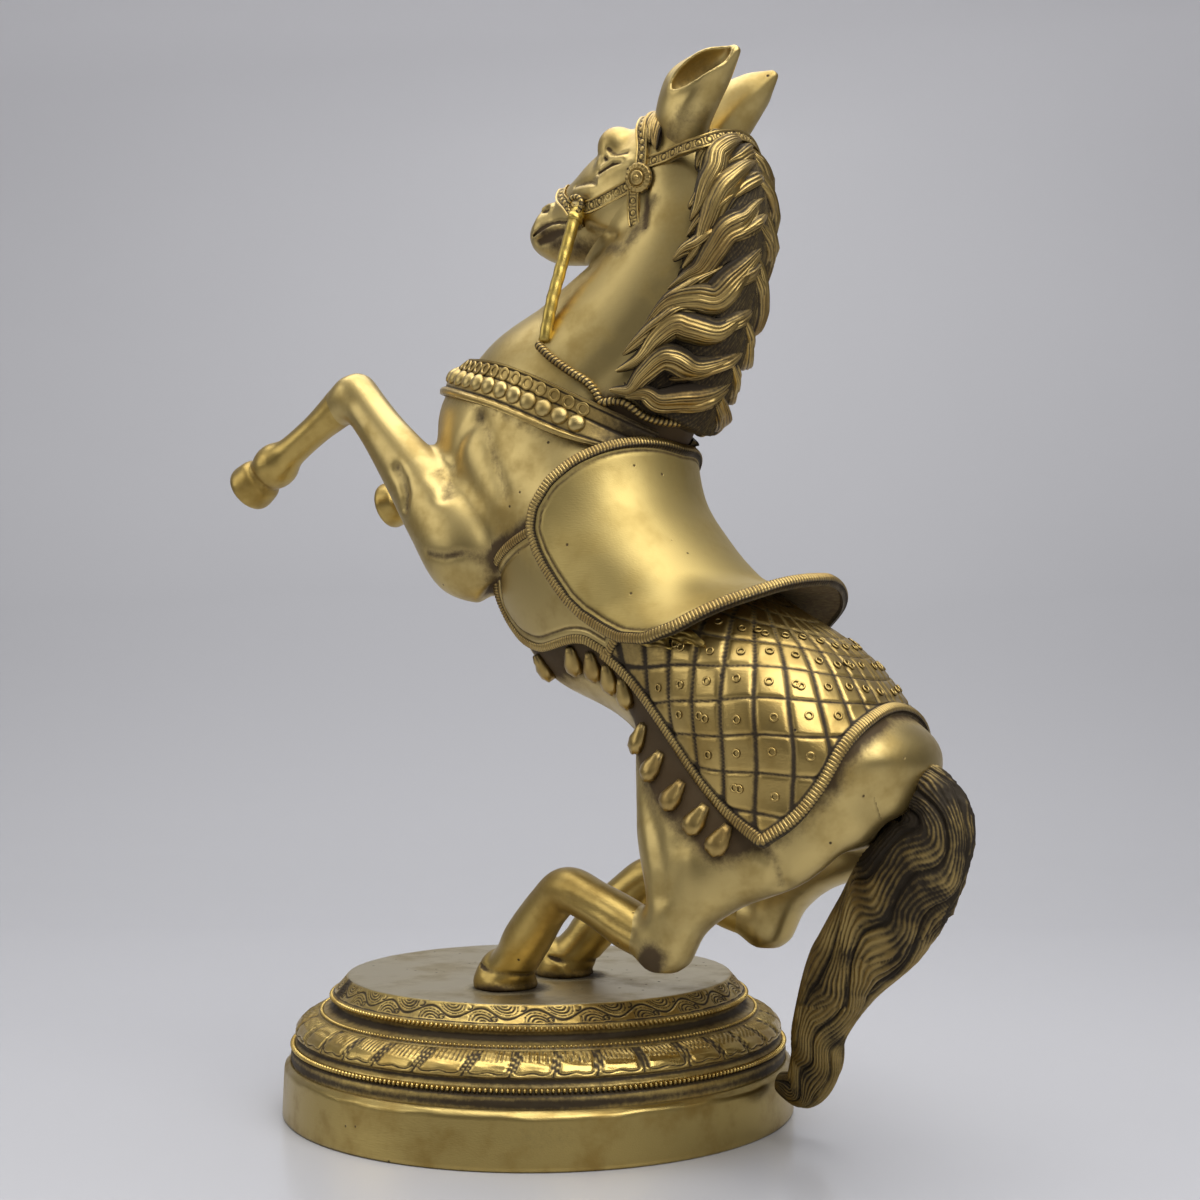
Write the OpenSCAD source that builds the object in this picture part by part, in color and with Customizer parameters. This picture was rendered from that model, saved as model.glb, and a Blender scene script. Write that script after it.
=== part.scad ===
// Cast brass statue of a rearing horse in parade harness, standing on a round stepped plinth.
// Millimetres. +Z up, origin at the centre of the plinth's underside, the horse faces -X.

/* [Plinth] */
// Diameter of the plain foot band
plinth_d = 152; // [140:1:170]
// Height of the plinth, floor to deck
plinth_h = 39; // [36:0.5:46]
// Height of the plain foot band
band_h = 14; // [10:0.5:17]
// Diameter of the flat deck
deck_d = 114; // [106:1:120]
// Wall of the hollow plinth casting
plinth_wall = 5; // [4:0.5:7]
// Wall of the foot band
band_wall = 6; // [5:0.5:8]
// Width of the lap where the dome sits in the band
lap_w = 2.5; // [2:0.25:3]
// Depth of that lap
lap_h = 3; // [2:0.25:4]

/* [Body] */
// Sideways distance of the horse from the plinth's centre, towards its left
stand_off = 15; // [8:0.5:20]
// Width across the haunches
haunch_w = 66; // [60:1:72]
// Width of the barrel at the girth
barrel_w = 58; // [54:1:64]
// Width of the chest
chest_w = 50; // [46:1:56]
// Width of the neck at the collar
neck_base_w = 48; // [44:1:52]
// Width of the neck at the throat
throat_w = 27; // [24:0.5:30]
// Width of the head across the eyes
head_w = 28; // [26:0.5:31]
// Width of the muzzle
muzzle_w = 15; // [13:0.5:17]
// Diameter of an ear at its root
ear_d = 13; // [11:0.5:14]
// Thickness of the tail at its middle
tail_t = 18; // [15:0.5:22]
// Wall of the hollow body and neck castings
body_wall = 6; // [4.5:0.5:8]

/* [Legs] */
// Width of the forearm at the elbow
elbow_w = 22; // [19:0.5:25]
// Diameter of the knee
knee_d = 12.5; // [11:0.5:14]
// Diameter of the fore cannon
fore_cannon_d = 9.6; // [8.5:0.2:11]
// Diameter of the fetlock
fetlock_d = 12.5; // [11:0.5:14]
// Diameter of the raised fore hooves
fore_hoof_d = 16; // [14:0.5:18]
// Width of the thigh
thigh_w = 26; // [23:0.5:29]
// Diameter of the hock
hock_d = 14; // [12.5:0.5:16]
// Diameter of the hind cannon
hind_cannon_d = 12; // [11:0.5:13.5]
// Diameter of the hind hooves on the deck
hind_hoof_d = 18; // [16:0.5:20]

/* [Harness] */
// Thickness of the saddle shell
saddle_t = 1.8; // [1.4:0.1:2.4]
// Rise of the pommel's flared rim
pommel_flare = 5; // [3:0.5:7]
// Rise of the cantle's flared rim
cantle_flare = 12; // [9:0.5:14]
// Thickness of the saddle cloth and girth flaps
cloth_t = 1.4; // [1.1:0.1:2]
// Width of the breast collar
collar_w = 13; // [11:0.5:15]
// Thickness of the breast collar
collar_t = 2; // [1.6:0.1:2.6]
// Diameter of the domes on the collar
dome_d = 5.2; // [4.4:0.2:5.6]
// Length of the drop bells
bell_l = 6.5; // [5.5:0.5:8]
// Width of the bridle straps
strap_w = 2.8; // [2.4:0.2:3.4]
// Thickness of the bridle straps
strap_t = 1.1; // [0.9:0.1:1.5]
// Diameter of the cheek rosettes
rosette_d = 7; // [6:0.5:8]
// Diameter of the free rein rods
rein_d = 3; // [2.6:0.2:3.6]
// Diameter of the rope rein on the neck
rope_d = 2.4; // [2:0.2:3]

/* [Fixings] */
// Diameter of the screws that hold the hind hooves
screw_d = 5; // [4:0.5:6]
// Radial clearance of those screws in the deck
screw_gap = 0.3; // [0.2:0.05:0.5]
// Depth of the screws in the hooves
screw_grip = 8; // [6:0.5:9]
// Thickness of the washers under the deck
washer_t = 1.5; // [1:0.1:2]

/* [Hidden] */
$fn = 96;
brass = "#b8963f";
bright = "#c9a94d";
dull = "#8d7136";
eps = 0.01;
// How deep a sheet reaches into the casting under it before it is cut to that casting's skin
seat_sink = 0.5;

// Stations of the lofted castings: X, Y, Z of the centre, half width, half depth to the upper
// (or front) side, half depth to the lower (or rear) side. Z is counted from the deck.
torso_line = [
    [131, 0, 58, 6, 4, 5],
    [126, 0, 62, haunch_w * 0.3, 12, 15],
    [114, 0, 66, haunch_w * 0.44, 17, 27],
    [97, 0, 77, haunch_w / 2, 21.5, 38],
    [70, 0, 99, barrel_w / 2, 18, 34],
    [50, 0, 118, barrel_w / 2, 20, 43],
    [30, 0, 138, chest_w * 0.55, 28, 40],
    [9, 0, 155, chest_w / 2, 30, 33],
    [-1, 0, 169, chest_w * 0.42, 24, 23.5],
    [-2, 0, 180, chest_w * 0.24, 14, 13.5]
];
neck_line = [
    [15, 0, 151, neck_base_w * 0.44, 34, 38],
    [23, 0, 165, neck_base_w / 2, 37, 36],
    [36, 0, 180, neck_base_w * 0.41, 36, 27],
    [48, 0, 193, throat_w * 0.62, 31, 22],
    [57, 0, 206, throat_w * 0.54, 25, 18],
    [63, 0, 219, throat_w / 2, 20, 14],
    [66, 0, 231, throat_w * 0.43, 14, 11],
    [67, 0, 239, throat_w * 0.26, 7, 6]
];
head_line = [
    [71, 0, 233, head_w * 0.3, 6, 7],
    [63, 0, 231.5, head_w * 0.45, 13, 15],
    [51, 0, 228.5, head_w / 2, 16, 17],
    [40, 0, 225, head_w * 0.47, 16, 17],
    [30, 0, 222, head_w * 0.37, 13.5, 14],
    [21, 0, 220, muzzle_w * 0.52, 11, 10],
    [14, 0, 220.5, muzzle_w / 2, 8, 7],
    [10.5, 0, 221.5, muzzle_w * 0.3, 4, 4]
];
tail_line = [
    [124, 0, 62, tail_t * 0.36, 6, 6],
    [132, 0, 58, tail_t * 0.42, 8, 8],
    [135, 0, 49, tail_t * 0.5, 11, 10.5],
    [127, 2, 36, tail_t * 0.55, 14, 14],
    [118, 6, 24, tail_t * 0.53, 14, 13],
    [104, 11, 10, tail_t * 0.46, 11, 11],
    [94, 16, -6, tail_t * 0.4, 8, 8],
    [90.5, 20, -17, tail_t * 0.36, 7.5, 7.5],
    [85, 23, -25, tail_t * 0.3, 6, 6],
    [77.5, 24, -25, tail_t * 0.18, 3, 3]
];
hoof_at = [9.5, 14];
// The hoof runs on below the deck and is cut level with it
hoof_cut = 5;

// Raised foreleg of one side (s = -1 is the left), from the shoulder to the knee
function fore_arm_line(s, knee) =
    let (elbow = [1, s * 19.5, 123], d = knee - elbow)
    [
        [8, s * 16, 115.5, elbow_w * 0.36, 8.5, 8.5],
        each [for (k = [[0, elbow_w * 0.5, 14, 13.5],
                        [0.24, elbow_w * 0.47, 12.5, 12],
                        [0.5, elbow_w * 0.36, 9.5, 9.5],
                        [0.76, knee_d * 0.54, 7.2, 7.2],
                        [1, knee_d * 0.5, knee_d * 0.52, knee_d * 0.52]])
            [elbow[0] + d[0] * k[0], elbow[1] + d[1] * k[0],
             elbow[2] + d[2] * k[0], k[1], k[2], k[3]]]
    ];
// The same leg from the knee to the hoof's sole
function fore_shank_line(knee, toe) =
    let (d = toe - knee)
    [
        each [for (k = [[0, knee_d * 0.48], [0.2, knee_d * 0.46], [0.42, fore_cannon_d / 2],
                        [0.6, fore_cannon_d * 0.52], [0.74, fetlock_d / 2], [0.82, fetlock_d * 0.46],
                        [0.85, fore_hoof_d * 0.47], [1, fore_hoof_d / 2]])
            [knee[0] + d[0] * k[0], knee[1] + d[1] * k[0],
             knee[2] + d[2] * k[0], k[1], k[1], k[1]]]
    ];
left_knee = [-43.5, -22, 175.5];
left_toe = [-91, -22, 149];
right_knee = [-28, 26, 158];
right_toe = [-70, 21, 147];

// Hind leg of one side, from the hip to the hock
function hind_thigh_line(s) = [
    [106, s * 10, 80, thigh_w * 0.4, 18, 14],
    [99, s * 15.5, 65, thigh_w * 0.46, 41, 25],
    [90, s * 19.5, 51, thigh_w * 0.46, 37, 25],
    [81, s * 24, 37, thigh_w * 0.4, 22, 15],
    [75.5, s * 26.5, 26, thigh_w * 0.32, 9, 9],
    [72, s * 27, 16, hock_d / 2, 6.5, 7],
    [71, s * 27, 12, hock_d * 0.33, 3.5, 4]
];
// The same leg from the hock over the fetlock to the hoof on the deck
function hind_shank_line(s) = [
    [72, s * 27, 17, hock_d * 0.45, 5, 4.5],
    [61, s * 26, 22, hock_d * 0.48, 6.5, 6.5],
    [48, s * 24, 27, hind_cannon_d / 2, 6, 6],
    [37, s * 21.5, 29.5, fetlock_d / 2, 6.3, 6.3],
    [29, s * 19.5, 24.5, fetlock_d * 0.48, 6.2, 6.2],
    [20, s * 17, 15, fetlock_d * 0.5, 6.2, 6.2],
    [13.5, s * 15, 7, hind_hoof_d * 0.42, 7, 7],
    [10.5, s * 14.2, 3, hind_hoof_d / 2, hind_hoof_d / 2, hind_hoof_d * 0.48],
    [hoof_at[0], s * hoof_at[1], -hoof_cut, hind_hoof_d / 2, hind_hoof_d / 2, hind_hoof_d / 2]
];
// Ear of one side, an open cup that leans back
function ear_line(s) = [
    [67, s * 7.5, 234, ear_d * 0.42, ear_d * 0.42, ear_d * 0.42],
    [69.5, s * 9, 241, ear_d / 2, ear_d * 0.4, ear_d * 0.88],
    [74, s * 10, 246.5, ear_d * 0.47, ear_d * 0.36, ear_d * 1.04],
    [80, s * 10.5, 252.5, ear_d * 0.35, ear_d * 0.27, ear_d * 0.64],
    [86, s * 10.5, 257.5, ear_d * 0.08, ear_d * 0.09, ear_d * 0.09]
];

// Curve through the stations of S, at station number u
function at(S, u) =
    let (i = min(len(S) - 2, max(0, floor(u))), t = u - i,
         a = S[max(0, i - 1)], b = S[i], c = S[i + 1], d = S[min(len(S) - 1, i + 2)])
    b + t * (c - a) / 2 + t * t * (a - 2.5 * b + 2 * c - d / 2)
    + t * t * t * ((d - a) / 2 + 1.5 * (b - c));
function unit(v) = v / norm(v);
function spot(S, u) = let (v = at(S, u)) [v[0], v[1], v[2]];
function way(S, u) = unit(spot(S, min(len(S) - 1, u + 0.05)) - spot(S, max(0, u - 0.05)));
function across(T) = unit([0, 1, 0] - T[1] * T);

// Point of a casting's skin at station u and angle phi (0 is the upper side, 90 its right),
// lifted off it
function skin(S, u, phi, lift = 0) =
    let (v = at(S, u), T = way(S, u), A = across(T), U = cross(A, T),
         rise = cos(phi) > 0 ? v[4] : v[5])
    spot(S, u) + A * (v[3] + lift) * sin(phi) + U * (rise + lift) * cos(phi);

// Closed tube through rings of points, capped at both ends
module tube(rings) {
    n = len(rings) - 1;
    sides = len(rings[0]);
    polyhedron([for (r = rings) each r], concat(
        [[for (k = [0:sides - 1]) k]],
        [[for (k = [sides - 1:-1:0]) n * sides + k]],
        [for (j = [0:n - 1]) for (k = [0:sides - 1]) each quad(j, k, sides, true)]
    ), convexity = 8);
}
// Loft along the stations, each stretch in so many steps
module loft(S, steps, sides) {
    n = (len(S) - 1) * steps;
    tube([for (j = [0:n]) [for (k = [0:sides - 1]) skin(S, j / steps, 360 * k / sides)]]);
}
// Two triangles of one grid cell, seen from outside
function quad(j, k, row, wrap, base = 0, flip = false) =
    let (m = wrap ? (k + 1) % row : k + 1, a = base + j * row + k, b = base + (j + 1) * row + k,
         c = base + (j + 1) * row + m, d = base + j * row + m)
    flip ? [[a, c, b], [a, d, c]] : [[a, b, c], [a, c, d]];

// Closed sheet between two grids of points, the outer one and the inner one
module sheet(outer, inner) {
    n = len(outer) - 1;
    row = len(outer[0]);
    base = (n + 1) * row;
    pts = concat([for (r = outer) each r], [for (r = inner) each r]);
    polyhedron(pts, concat(
        [for (j = [0:n - 1]) for (k = [0:row - 2]) each quad(j, k, row, false)],
        [for (j = [0:n - 1]) for (k = [0:row - 2]) each quad(j, k, row, false, base, true)],
        [for (j = [0:n - 1]) each rim((j + 1) * row, j * row, base)],
        [for (j = [0:n - 1]) each rim(j * row + row - 1, (j + 1) * row + row - 1, base)],
        [for (k = [0:row - 2]) each rim(k, k + 1, base)],
        [for (k = [0:row - 2]) each rim(n * row + k + 1, n * row + k, base)]
    ), convexity = 8);
}
function rim(a, b, base) = [[a, b, base + b], [a, base + b, base + a]];

// Round rod through points
module rod(path, d, sides = 10) {
    n = len(path) - 1;
    tube([for (j = [0:n])
        let (T = unit(path[min(n, j + 1)] - path[max(0, j - 1)]),
             A = unit(cross(T, [0.3, 1, 0.2])), U = cross(A, T))
        [for (k = [0:sides - 1]) let (a = 360 * k / sides)
            path[j] + d / 2 * (U * cos(a) + A * sin(a))]]);
}

// Bridle strap that lies on a casting along points of station and angle
strap_steps = 3;
module strap(S, route) {
    n = (len(route) - 1) * strap_steps;
    function mid(j, lift) = let (q = at(route, j / strap_steps)) skin(S, q[0], q[1], lift);
    function side(j) =
        let (T = unit(mid(min(n, j + 1), 0) - mid(max(0, j - 1), 0)), N = unit(mid(j, 1) - mid(j, 0)))
        unit(cross(T, N));
    function row(j, lift, fall) =
        [for (e = [-1, 0, 1]) mid(j, lift - fall * abs(e)) + side(j) * strap_w / 2 * e];
    sheet([for (j = [0:n]) row(j, strap_t, strap_t * 0.3)], [for (j = [0:n]) row(j, -seat_sink, 0)]);
}
module horse() {
    translate([0, -stand_off, plinth_h]) children();
}

// Plinth
band_r = plinth_d / 2;
deck_r = deck_d / 2;
lap_r = band_r - lap_w;
band_draft = 0.5;
band_lip = 1.4;
band_lip_h = 1.2;
step_z = band_h + band_lip_h;

module foot_band() {
    color(bright) rotate_extrude() polygon([
        [band_r - band_wall, 0], [band_r, 0], [band_r - band_draft, band_h],
        [band_r - band_lip, step_z], [lap_r, step_z], [lap_r, step_z - lap_h],
        [band_r - band_wall, step_z - lap_h]
    ]);
}
// Run from the dome's foot to the deck, in shares of the height and radius that are left to it
dome_h = plinth_h - step_z;
dome_run = lap_r - deck_r;
function dome_pt(r, z) = [deck_r + dome_run * r, step_z + dome_h * z];

module plinth_dome() {
    color(brass) difference() {
        rotate_extrude() difference() {
            polygon([
                [0, plinth_h], [deck_r, plinth_h], dome_pt(0.04, 0.97), dome_pt(0.24, 0.82),
                dome_pt(0.34, 0.8), dome_pt(0.36, 0.72), dome_pt(0.28, 0.68), dome_pt(0.26, 0.64),
                dome_pt(0.46, 0.6), dome_pt(0.58, 0.56), dome_pt(0.78, 0.48), dome_pt(0.92, 0.38),
                dome_pt(0.96, 0.32), dome_pt(0.9, 0.28), dome_pt(1, 0.22), dome_pt(1, 0.14),
                [lap_r, step_z], [lap_r, step_z - lap_h], [band_r - band_wall, step_z - lap_h],
                [0, step_z - lap_h]
            ]);
            polygon([
                [0, step_z - lap_h - eps], [lap_r - plinth_wall, step_z - lap_h - eps],
                [lap_r - plinth_wall, step_z], [deck_r - plinth_wall, plinth_h - plinth_wall],
                [0, plinth_h - plinth_wall]
            ]);
        }
        for (s = [-1, 1]) translate([hoof_at[0], s * hoof_at[1] - stand_off, 0])
            cylinder(d = screw_d + 2 * screw_gap, h = plinth_h + eps);
    }
}
// Screws come up through the deck into the hind hooves
screw_head_h = screw_d * 0.6;
screw_head_d = screw_d * 1.8;
slot_w = screw_d * 0.2;
washer_d = screw_d * 2.4;
module hoof_screws() {
    color(dull) for (s = [-1, 1])
        translate([hoof_at[0], s * hoof_at[1] - stand_off, plinth_h - plinth_wall - washer_t]) {
            translate([0, 0, -screw_head_h]) difference() {
                cylinder(d = screw_head_d, h = screw_head_h);
                translate([-screw_head_d, -slot_w / 2, -eps])
                    cube([2 * screw_head_d, slot_w, screw_head_h * 0.4]);
            }
            cylinder(d = screw_d, h = plinth_wall + washer_t + screw_grip);
        }
}
module screw_washers() {
    color(dull) for (s = [-1, 1])
        translate([hoof_at[0], s * hoof_at[1] - stand_off, plinth_h - plinth_wall - washer_t])
            difference() {
                cylinder(d = washer_d, h = washer_t);
                translate([0, 0, -eps]) cylinder(d = screw_d + 2 * screw_gap, h = washer_t + 2 * eps);
            }
}

// Castings of the horse as whole forms, before each is cut to the one that it is brazed to
function core_line(S, from, to) =
    [for (i = [from:to]) let (v = S[i], w = body_wall)
        [v[0], v[1], v[2], v[3] - w, v[4] - w, v[5] - w]];
module torso_form() loft(torso_line, 2, 24);
module neck_form() loft(neck_line, 2, 20);
brow_d = 11;
brow_at = [43.5, 6.5, 239.5];
module head_form() {
    loft(head_line, 2, 18);
    for (s = [-1, 1]) translate([brow_at[0], s * brow_at[1], brow_at[2]])
        sphere(d = brow_d, $fn = 16);
}
module thigh_form(s) loft(hind_thigh_line(s), 2, 16);

module torso() {
    color(brass) horse() difference() {
        torso_form();
        loft(core_line(torso_line, 1, len(torso_line) - 3), 1, 16);
    }
}
module neck() {
    color(brass) horse() difference() {
        neck_form();
        loft(core_line(neck_line, 1, len(neck_line) - 3), 1, 14);
        torso_form();
    }
}
module head() {
    color(brass) horse() difference() {
        head_form();
        neck_form();
    }
}
module ear_form(s) loft(ear_line(s), 2, 12);
// The cup of an ear opens outwards: its middle, and its width, depth and length
ear_cup_at = [76.2, 14.6, 253.2];
ear_cup = [ear_d * 0.68, ear_d, ear_d * 1.66];
ear_lean = 62;
module ear(s) {
    color(brass) horse() difference() {
        ear_form(s);
        translate([ear_cup_at[0], s * ear_cup_at[1], ear_cup_at[2]]) rotate([0, ear_lean, 0])
            scale(ear_cup) sphere(d = 1, $fn = 20);
        head_form();
        neck_form();
    }
}
module left_ear() ear(-1);
module right_ear() ear(1);

module fore_arm_form(s) loft(fore_arm_line(s, s < 0 ? left_knee : right_knee), 2, 14);
module fore_arm(s) {
    color(brass) horse() difference() {
        fore_arm_form(s);
        torso_form();
        neck_form();
    }
}
module fore_shank(s, knee, toe) {
    color(bright) horse() difference() {
        loft(fore_shank_line(knee, toe), 2, 12);
        fore_arm_form(s);
    }
}
module left_fore_arm() fore_arm(-1);
module left_fore_shank() fore_shank(-1, left_knee, left_toe);
module right_fore_arm() fore_arm(1);
module right_fore_shank() fore_shank(1, right_knee, right_toe);

module hind_thigh(s) {
    color(brass) horse() difference() {
        thigh_form(s);
        torso_form();
    }
}
module hind_shank(s) {
    color(bright) difference() {
        horse() difference() {
            loft(hind_shank_line(s), 2, 14);
            thigh_form(s);
        }
        cylinder(r = deck_r, h = plinth_h);
        translate([hoof_at[0], s * hoof_at[1] - stand_off, plinth_h - eps])
            cylinder(d = screw_d, h = screw_grip + eps);
    }
}
module left_hind_thigh() hind_thigh(-1);
module left_hind_shank() hind_shank(-1);
module right_hind_thigh() hind_thigh(1);
module right_hind_shank() hind_shank(1);

// Tail: strands round a core that swing from side to side as they hang, a groove between each two
tail_strands = 7;
tail_steps = 3;
strand_cut = 2;
tail_swing = 16;
// Share of the groove's depth over one strand, from groove to groove
strand_cup = [1, 0.2, 0, 0.2];
function tail_phi(u, k) =
    360 * k / (tail_strands * len(strand_cup)) + tail_swing * sin(109 * u + 46);
function tail_cut(u, k) =
    strand_cut * strand_cup[k % len(strand_cup)] * min(1, u, len(tail_line) - 1 - u);
module tail_form() {
    sides = tail_strands * len(strand_cup);
    tube([for (j = [0:(len(tail_line) - 1) * tail_steps]) let (u = j / tail_steps)
        [for (k = [0:sides - 1]) skin(tail_line, u, tail_phi(u, k), -tail_cut(u, k))]]);
}
module tail() {
    color(dull) difference() {
        horse() difference() {
            tail_form();
            torso_form();
            for (s = [-1, 1]) thigh_form(s);
        }
        cylinder(r = band_r, h = plinth_h);
    }
}

// Saddle: a thin shell over the back, its rim flared at the pommel, the cantle and the flaps.
// Degrees from the ridge of the back to its lower rim, and the station of its front and rear rim
// at shares of that reach
saddle_reach = 104;
saddle_front = [[0, 5.56], [0.42, 5.76], [0.59, 5.83], [0.74, 5.85], [0.88, 5.79], [0.94, 5.66],
                [0.98, 5.4], [1, 4.95]];
saddle_rear = [[0, 3.46], [0.34, 3.56], [0.53, 3.66], [0.71, 3.75], [0.87, 3.89], [0.95, 4.14],
               [0.99, 4.43], [1, 4.6]];
flap_flare = 2.6;
function fade(x, from, to) = let (t = min(1, max(0, (x - from) / (to - from)))) t * t;
function saddle_u(s, v) =
    let (rear = lookup(abs(v), saddle_rear), front = lookup(abs(v), saddle_front))
    rear + (front - rear) * s;
function saddle_lift(s, v) =
    saddle_t + cantle_flare * fade(s, 0.3, 0) * (1 - 0.6 * abs(v))
    + pommel_flare * fade(s, 0.75, 1) * (1 - 0.5 * abs(v)) + flap_flare * fade(abs(v), 0.6, 1);
// With a fill the form is thicker by so much underneath
module saddle_form(fill = 0) {
    n = 12;
    m = 22;
    // Rows draw together towards the rounded corners of the flaps
    grid = [for (i = [0:n]) [for (j = [0:m]) [i / n, sin(180 * j / m - 90)]]];
    sheet(
        [for (r = grid) [for (g = r) skin(torso_line, saddle_u(g[0], g[1]), saddle_reach * g[1],
            saddle_lift(g[0], g[1]))]],
        [for (r = grid) [for (g = r) skin(torso_line, saddle_u(g[0], g[1]), saddle_reach * g[1],
            saddle_lift(g[0], g[1]) - saddle_t - seat_sink - fill)]]
    );
}
module saddle() {
    color(bright) horse() difference() {
        saddle_form();
        torso_form();
        neck_form();
    }
}

// Saddle cloth: lies on the rump and hangs over the thighs, its two lower edges meeting in a point.
// Station of its rear edge at so many degrees from the ridge of the back
cloth_edge = 115;
cloth_point = 140;
cloth_front = 4.3;
cloth_rear = [[0, 1.48], [34, 1.45], [61, 1.5], [93, 1.6], [120, 1.8], [140, 2.02]];
cloth_hang = 14.5;
function cloth_phi(s, v) = v * (cloth_edge + (cloth_point - cloth_edge) * pow(1 - s, 2.4));
function cloth_u(s, v) =
    let (rear = lookup(abs(v) * cloth_point, cloth_rear)) rear + (cloth_front - rear) * s;
function cloth_pt(s, v, lift) =
    skin(torso_line, cloth_u(s, v), cloth_phi(s, v), lift)
    + [0, sign(v) * cloth_hang * fade(abs(v), 0.6, 1) * fade(s, 0.6, 0), 0];
module cloth_form() {
    n = 9;
    m = 22;
    sheet(
        [for (i = [0:n]) [for (j = [0:m]) cloth_pt(i / n, 2 * j / m - 1, cloth_t)]],
        [for (i = [0:n]) [for (j = [0:m]) cloth_pt(i / n, 2 * j / m - 1, -seat_sink)]]
    );
}
module saddle_cloth() {
    color(brass) horse() difference() {
        cloth_form();
        torso_form();
        saddle_form();
        for (s = [-1, 1]) thigh_form(s);
    }
}

// Girth flap: a rounded lobe on the side of the barrel, its upper part under the saddle.
// Degrees from the saddle's lower rim to its lower edge, at stations of the body
flap_edge = [[4.25, 9], [4.6, 11], [4.8, 20], [5, 31], [5.3, 41], [5.65, 45], [5.9, 41], [6.06, 24]];
flap_tuck = 16;
function flap_pt(side, s, t, lift) =
    let (from = flap_edge[0][0], to = flap_edge[len(flap_edge) - 1][0], u = from + (to - from) * s)
    skin(torso_line, u, side * (saddle_reach - flap_tuck + (lookup(u, flap_edge) + flap_tuck) * t), lift);
module flap_form(side) {
    n = 10;
    m = 8;
    // The grid turns round with the side, so that its faces keep looking outwards
    function row(i, lift) = [for (j = [0:m]) flap_pt(side, i / n, side > 0 ? j / m : 1 - j / m, lift)];
    sheet([for (i = [0:n]) row(i, cloth_t)], [for (i = [0:n]) row(i, -seat_sink)]);
}
module girth_flap(side) {
    color(brass) horse() difference() {
        flap_form(side);
        torso_form();
        saddle_form();
        cloth_form();
        fore_arm_form(side);
    }
}
module left_girth_flap() girth_flap(-1);
module right_girth_flap() girth_flap(1);

// Drop bells: rows under the edge of the girth flaps, on the body, and of the cloth, on the thighs.
// Station and degrees of the middle of each, the degrees of the first row from the saddle's lower rim
flap_bells = [[5.03, 47], [4.62, 25], [4.39, 21], [4.18, 21], [3.98, 21]];
cloth_bells = [[1.92, 29], [2.1, 49], [2.24, 67], [2.29, 83], [2.31, 100]];
bell_d = bell_l * 0.76;
// Places child with its axis z along N and its x along the surface direction T
module place(p, N, T) {
    Z = unit(N);
    X = unit(T - (T * Z) * Z);
    Y = cross(Z, X);
    multmatrix([[X[0], Y[0], Z[0], p[0]], [X[1], Y[1], Z[1], p[1]], [X[2], Y[2], Z[2], p[2]],
                [0, 0, 0, 1]])
        children();
}
module bell() {
    rotate([0, 90, 0]) rotate_extrude($fn = 16) polygon([
        [0, 0], [bell_d * 0.2, 0], [bell_d * 0.36, bell_l * 0.3], [bell_d / 2, bell_l * 0.62],
        [bell_d * 0.42, bell_l * 0.88], [bell_d * 0.18, bell_l], [0, bell_l]
    ]);
}
module bell_at(S, u, phi, du, turn) {
    p = skin(S, u, phi, bell_d * 0.1);
    N = skin(S, u, phi, 2) - skin(S, u, phi, 0);
    T = unit(skin(S, u + du, phi + turn, 0) - skin(S, u, phi, 0));
    place(p - T * bell_l / 2, N, T) bell();
}
module drop_bells() {
    color(dull) horse() difference() {
        for (side = [-1, 1]) {
            for (b = flap_bells) bell_at(torso_line, b[0], side * (saddle_reach + b[1]), 0, side * 4);
            for (b = cloth_bells) bell_at(hind_thigh_line(side), b[0], side * b[1], 0.1, -side * 6);
        }
        torso_form();
        for (side = [-1, 1]) {
            thigh_form(side);
            flap_form(side);
        }
        cloth_form();
    }
}

// Breast collar: a band round the foot of the neck, open under the mane, with a row of domes
collar_steps = 34;
collar_open = 48;
// Station of its middle under the mane, and how far it drops to the breast
collar_top = 1.56;
collar_drop = 0.92;
function collar_u(phi) = collar_top - collar_drop * (1 - cos(phi)) / 2;
function collar_pt(phi, e, lift) =
    let (S = neck_line, a = skin(S, collar_u(phi + 2), phi + 2), b = skin(S, collar_u(phi - 2), phi - 2),
         N = unit(skin(S, collar_u(phi), phi, 1) - skin(S, collar_u(phi), phi)))
    skin(S, collar_u(phi), phi, lift) + unit(cross(a - b, N)) * e;
module collar_form() {
    edge = collar_w / 2;
    section = [[-edge, -seat_sink], [-edge, collar_t * 0.7], [-edge * 0.6, collar_t],
               [edge * 0.6, collar_t], [edge, collar_t * 0.7], [edge, -seat_sink]];
    tube([for (j = [0:collar_steps]) let (phi = collar_open / 2 + (360 - collar_open) * j / collar_steps)
        [for (q = section) collar_pt(phi, q[0], q[1])]]);
}
module breast_collar() {
    color(brass) horse() difference() {
        collar_form();
        neck_form();
        torso_form();
        saddle_form();
    }
}
// Degrees from the crest to the first dome, and the gap between domes
dome_from = 62;
dome_gap = 0.3;
function dome_phis(phi) =
    let (per_degree = norm(collar_pt(phi + 0.5, 0, collar_t) - collar_pt(phi - 0.5, 0, collar_t)))
    phi > 360 - dome_from ? [] : [phi, each dome_phis(phi + (dome_d + dome_gap) / per_degree)];
module collar_domes() {
    color(bright) horse() difference() {
        for (phi = dome_phis(dome_from)) {
            p = collar_pt(phi, 0, collar_t);
            N = collar_pt(phi, 0, collar_t + 1) - p;
            T = collar_pt(phi, 1, collar_t) - p;
            place(p, N, T) rotate_extrude($fn = 24) intersection() {
                circle(d = dome_d);
                square(dome_d);
            }
        }
        torso_form();
    }
}

// Mane: a thin cap along the crest under locks that fall to both sides of the neck.
// Degrees from the crest to the cap's edge, at stations of the neck
mane_t = 5.4;
mane_edge_t = 1.2;
mane_edge = [[1.35, 16], [1.7, 62], [2, 76], [3.1, 79], [4.2, 80], [4.9, 80], [5.6, 76], [6.7, 60]];
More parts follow.
